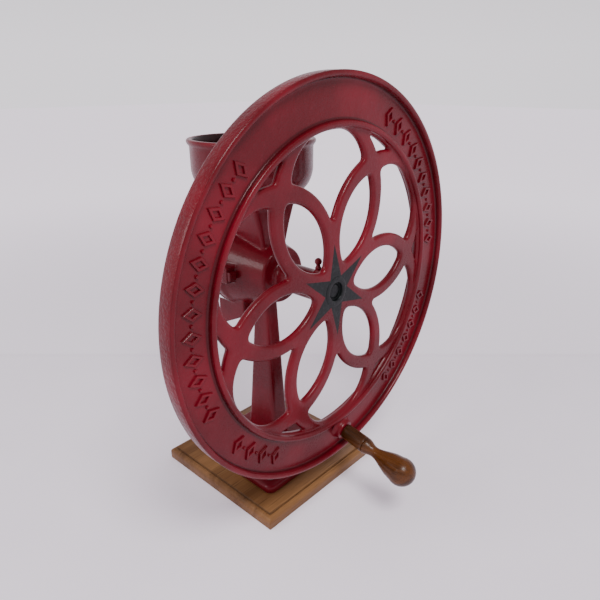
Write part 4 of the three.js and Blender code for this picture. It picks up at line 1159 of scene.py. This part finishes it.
for make, body, slot, node in (
    (wheel_web, "rotor", "red_paint", "flywheel"),
    (wheel_rim, "rotor", "red_paint", "flywheel"),
    (crank_sleeve, "crank_handle", "handle_wood", "crank_sleeve"),
    (crank_grip, "crank_handle", "handle_wood", "crank_grip"),
    (hopper, "stand", "red_paint", "hopper"),
    (mill_frame, "stand", "red_paint", "mill_frame"),
    (board, "stand", "board_wood", "base_board"),
    (main_shaft, "rotor", "steel", "main_shaft"),
    (rear_cover, "stand", "red_paint", "rear_cover"),
    (oil_plug, "oil_plug", "red_paint", "oil_plug"),
    (adjusting_screw, "adjusting_screw", "steel", "adjusting_screw"),
):
    take_over(make(), body, node)
take_over(nut_for("adjusting_lock_nut", "lock_nut_cut", 9), "lock_nut", "adjusting_lock_nut")
for piece, slot, node in crank_fastening():
    take_over(piece, "rotor", node)
for side, word in ((-1, "left"), (1, "right")):
    node = f"cover_nut_{word}"
    take_over(cover_bolt(side, word), "stand", f"cover_bolt_{word}")
    take_over(nut_for(node, f"{node}_cut", 7, lug_place(side)), "stand", node)
    node = f"hopper_screw_{word}"
    take_over(slotted_screw(node, 5, 3, 0.4 * side, 2.5), "stand", node)
for turn, corner in enumerate(("front_left", "front_right", "rear_left", "rear_right")):
    node = f"foot_screw_{corner}"
    take_over(slotted_screw(node, 6, 4, 0.5 + 1.1 * turn, 3), "stand", node)
    node = f"foot_washer_{corner}"
    take_over(foot_washer(node), "stand", node)

SLOT_MATERIALS = {
    "red_paint": ENAMEL, "steel": STEEL, "dark_steel": DARK_STEEL, "bare_iron": BARE_IRON,
    "bronze": BRONZE, "board_wood": BOARD_WOOD, "handle_wood": HANDLE_WOOD,
}
for part in frame["record"]["subparts"]:
    node = frame["nodes"][part["node"]]
    node.data.materials.clear()
    node.data.materials.append(SLOT_MATERIALS[part["material_slot"]])

# ---------------------------- stage, light and camera
CAMERA_PLACE = (-479.2, -372.5, 233.9)  # millimetres on the shaft line
CAMERA_AZIMUTH = math.radians(-47.4)
CAMERA_ELEVATION = math.radians(25.08)
CAMERA_LENS = 31.5
CAMERA_SHIFT_Y = 0.0487
# From here on, places are in metres in the frame.
SEAM_DISTANCE = 0.348  # the backdrop's fold lies this far behind the mill, across the view
SEAM_WIDTH = 0.012
FLOOR_HALF = 14
PAPER_LIGHT = colour(0.80, 0.735, 0.81)
PAPER_SHADED = colour(0.74, 0.675, 0.75)
PAPER_FOLD_SHADE = colour(0.64, 0.585, 0.645)
ROOM = colour(0.885, 0.835, 0.895)
LIGHT_TARGET = (0, 0, 0.3)


def stage_floor():
    """A pale paper sweep: painted light makes it a little lighter past a soft fold behind the mill, where a
    line of painted shade lies.
    """
    bm = bmesh.new()
    bmesh.ops.create_grid(bm, x_segments=1, y_segments=1, size=FLOOR_HALF)
    floor = finish_mesh("floor", bm, None, to_row=Matrix.Identity(4))
    n = material_nodes("floor")
    x, y, _ = n.axes()
    right, ahead = math.sin(-CAMERA_AZIMUTH), math.cos(CAMERA_AZIMUTH)
    depth = n.plus(n.times(x, right), n.times(y, ahead))
    behind = n.ramp(depth, SEAM_DISTANCE - SEAM_WIDTH, SEAM_DISTANCE + SEAM_WIDTH)
    # Painted shade: a soft darker line along the backdrop's fold.
    fold = n.ramp(n.size_of(n.minus(depth, SEAM_DISTANCE)), 0.0, SEAM_WIDTH, 0.3, 0.0)
    # Painted light: past the seam the paper is made PAPER_LIGHT, standing in for the brighter backdrop; in
    # front the tone varies at random.
    tone = n.mix(behind, n.mix(n.noise(6, 4), PAPER_SHADED, PAPER_LIGHT), PAPER_LIGHT)
    tone = n.mix(fold, tone, PAPER_FOLD_SHADE)
    # Painted light: the paper is given emission that grows with the distance from the mill, standing in for
    # the lit backdrop.
    painted_glow = n.ramp(n.length(x, y), 0.4, 2.6, 0.34, 1.05)
    n.set(Base_Color=tone, Roughness=0.9, Specular_IOR_Level=0.1)
    n.set(Emission_Color=tone, Emission_Strength=painted_glow)
    floor.data.materials.append(n.owner)


def area_light(name, place, size, power):
    """A round soft light that faces the mill."""
    data = bpy.data.lights.new(name, "AREA")
    data.shape = "DISK"
    data.size = size
    data.energy = power
    light = bpy.data.objects.new(name, data)
    light.location = place
    light.rotation_euler = (Vector(LIGHT_TARGET) - Vector(place)).to_track_quat("-Z", "Y").to_euler()
    bpy.context.scene.collection.objects.link(light)


def studio():
    """A pale room that lights the mill softly from all sides, and two soft lights."""
    world = bpy.data.worlds.new("studio")
    bpy.context.scene.world = world
    n = Nodes(world, "Background", "Generated")
    _, ahead, up = n.axes()
    # The room is brightest in a band behind the paper, and dimmer overhead and in front.
    by_height = n.ramp(up, 0.05, 0.5, 1.5, 0.8, "LINEAR")
    by_depth = n.ramp(ahead, -0.9, 0.5, 0.75, 1.0, "LINEAR")
    n.set(Color=ROOM, Strength=n.times(by_height, by_depth))
    area_light("overhead", (-0.45, -1.0, 1.75), size=0.65, power=26)
    area_light("side", (-1.5, 0.5, 1.2), size=0.6, power=8)


def camera():
    """The camera, at a plain viewing angle above and left of the wheel."""
    data = bpy.data.cameras.new("camera")
    data.sensor_width = 36
    data.lens = CAMERA_LENS
    data.shift_y = CAMERA_SHIFT_Y
    data.clip_start = 0.01
    obj = bpy.data.objects.new("camera", data)
    away = Vector((
        math.sin(CAMERA_AZIMUTH) * math.cos(CAMERA_ELEVATION),
        -math.cos(CAMERA_AZIMUTH) * math.cos(CAMERA_ELEVATION),
        math.sin(CAMERA_ELEVATION),
    ))
    obj.location = TO_ROW @ Vector(CAMERA_PLACE)
    obj.rotation_mode = "QUATERNION"
    obj.rotation_quaternion = (-away).to_track_quat("-Z", "Y")
    bpy.context.scene.collection.objects.link(obj)
    bpy.context.scene.camera = obj


stage_floor()
studio()
camera()
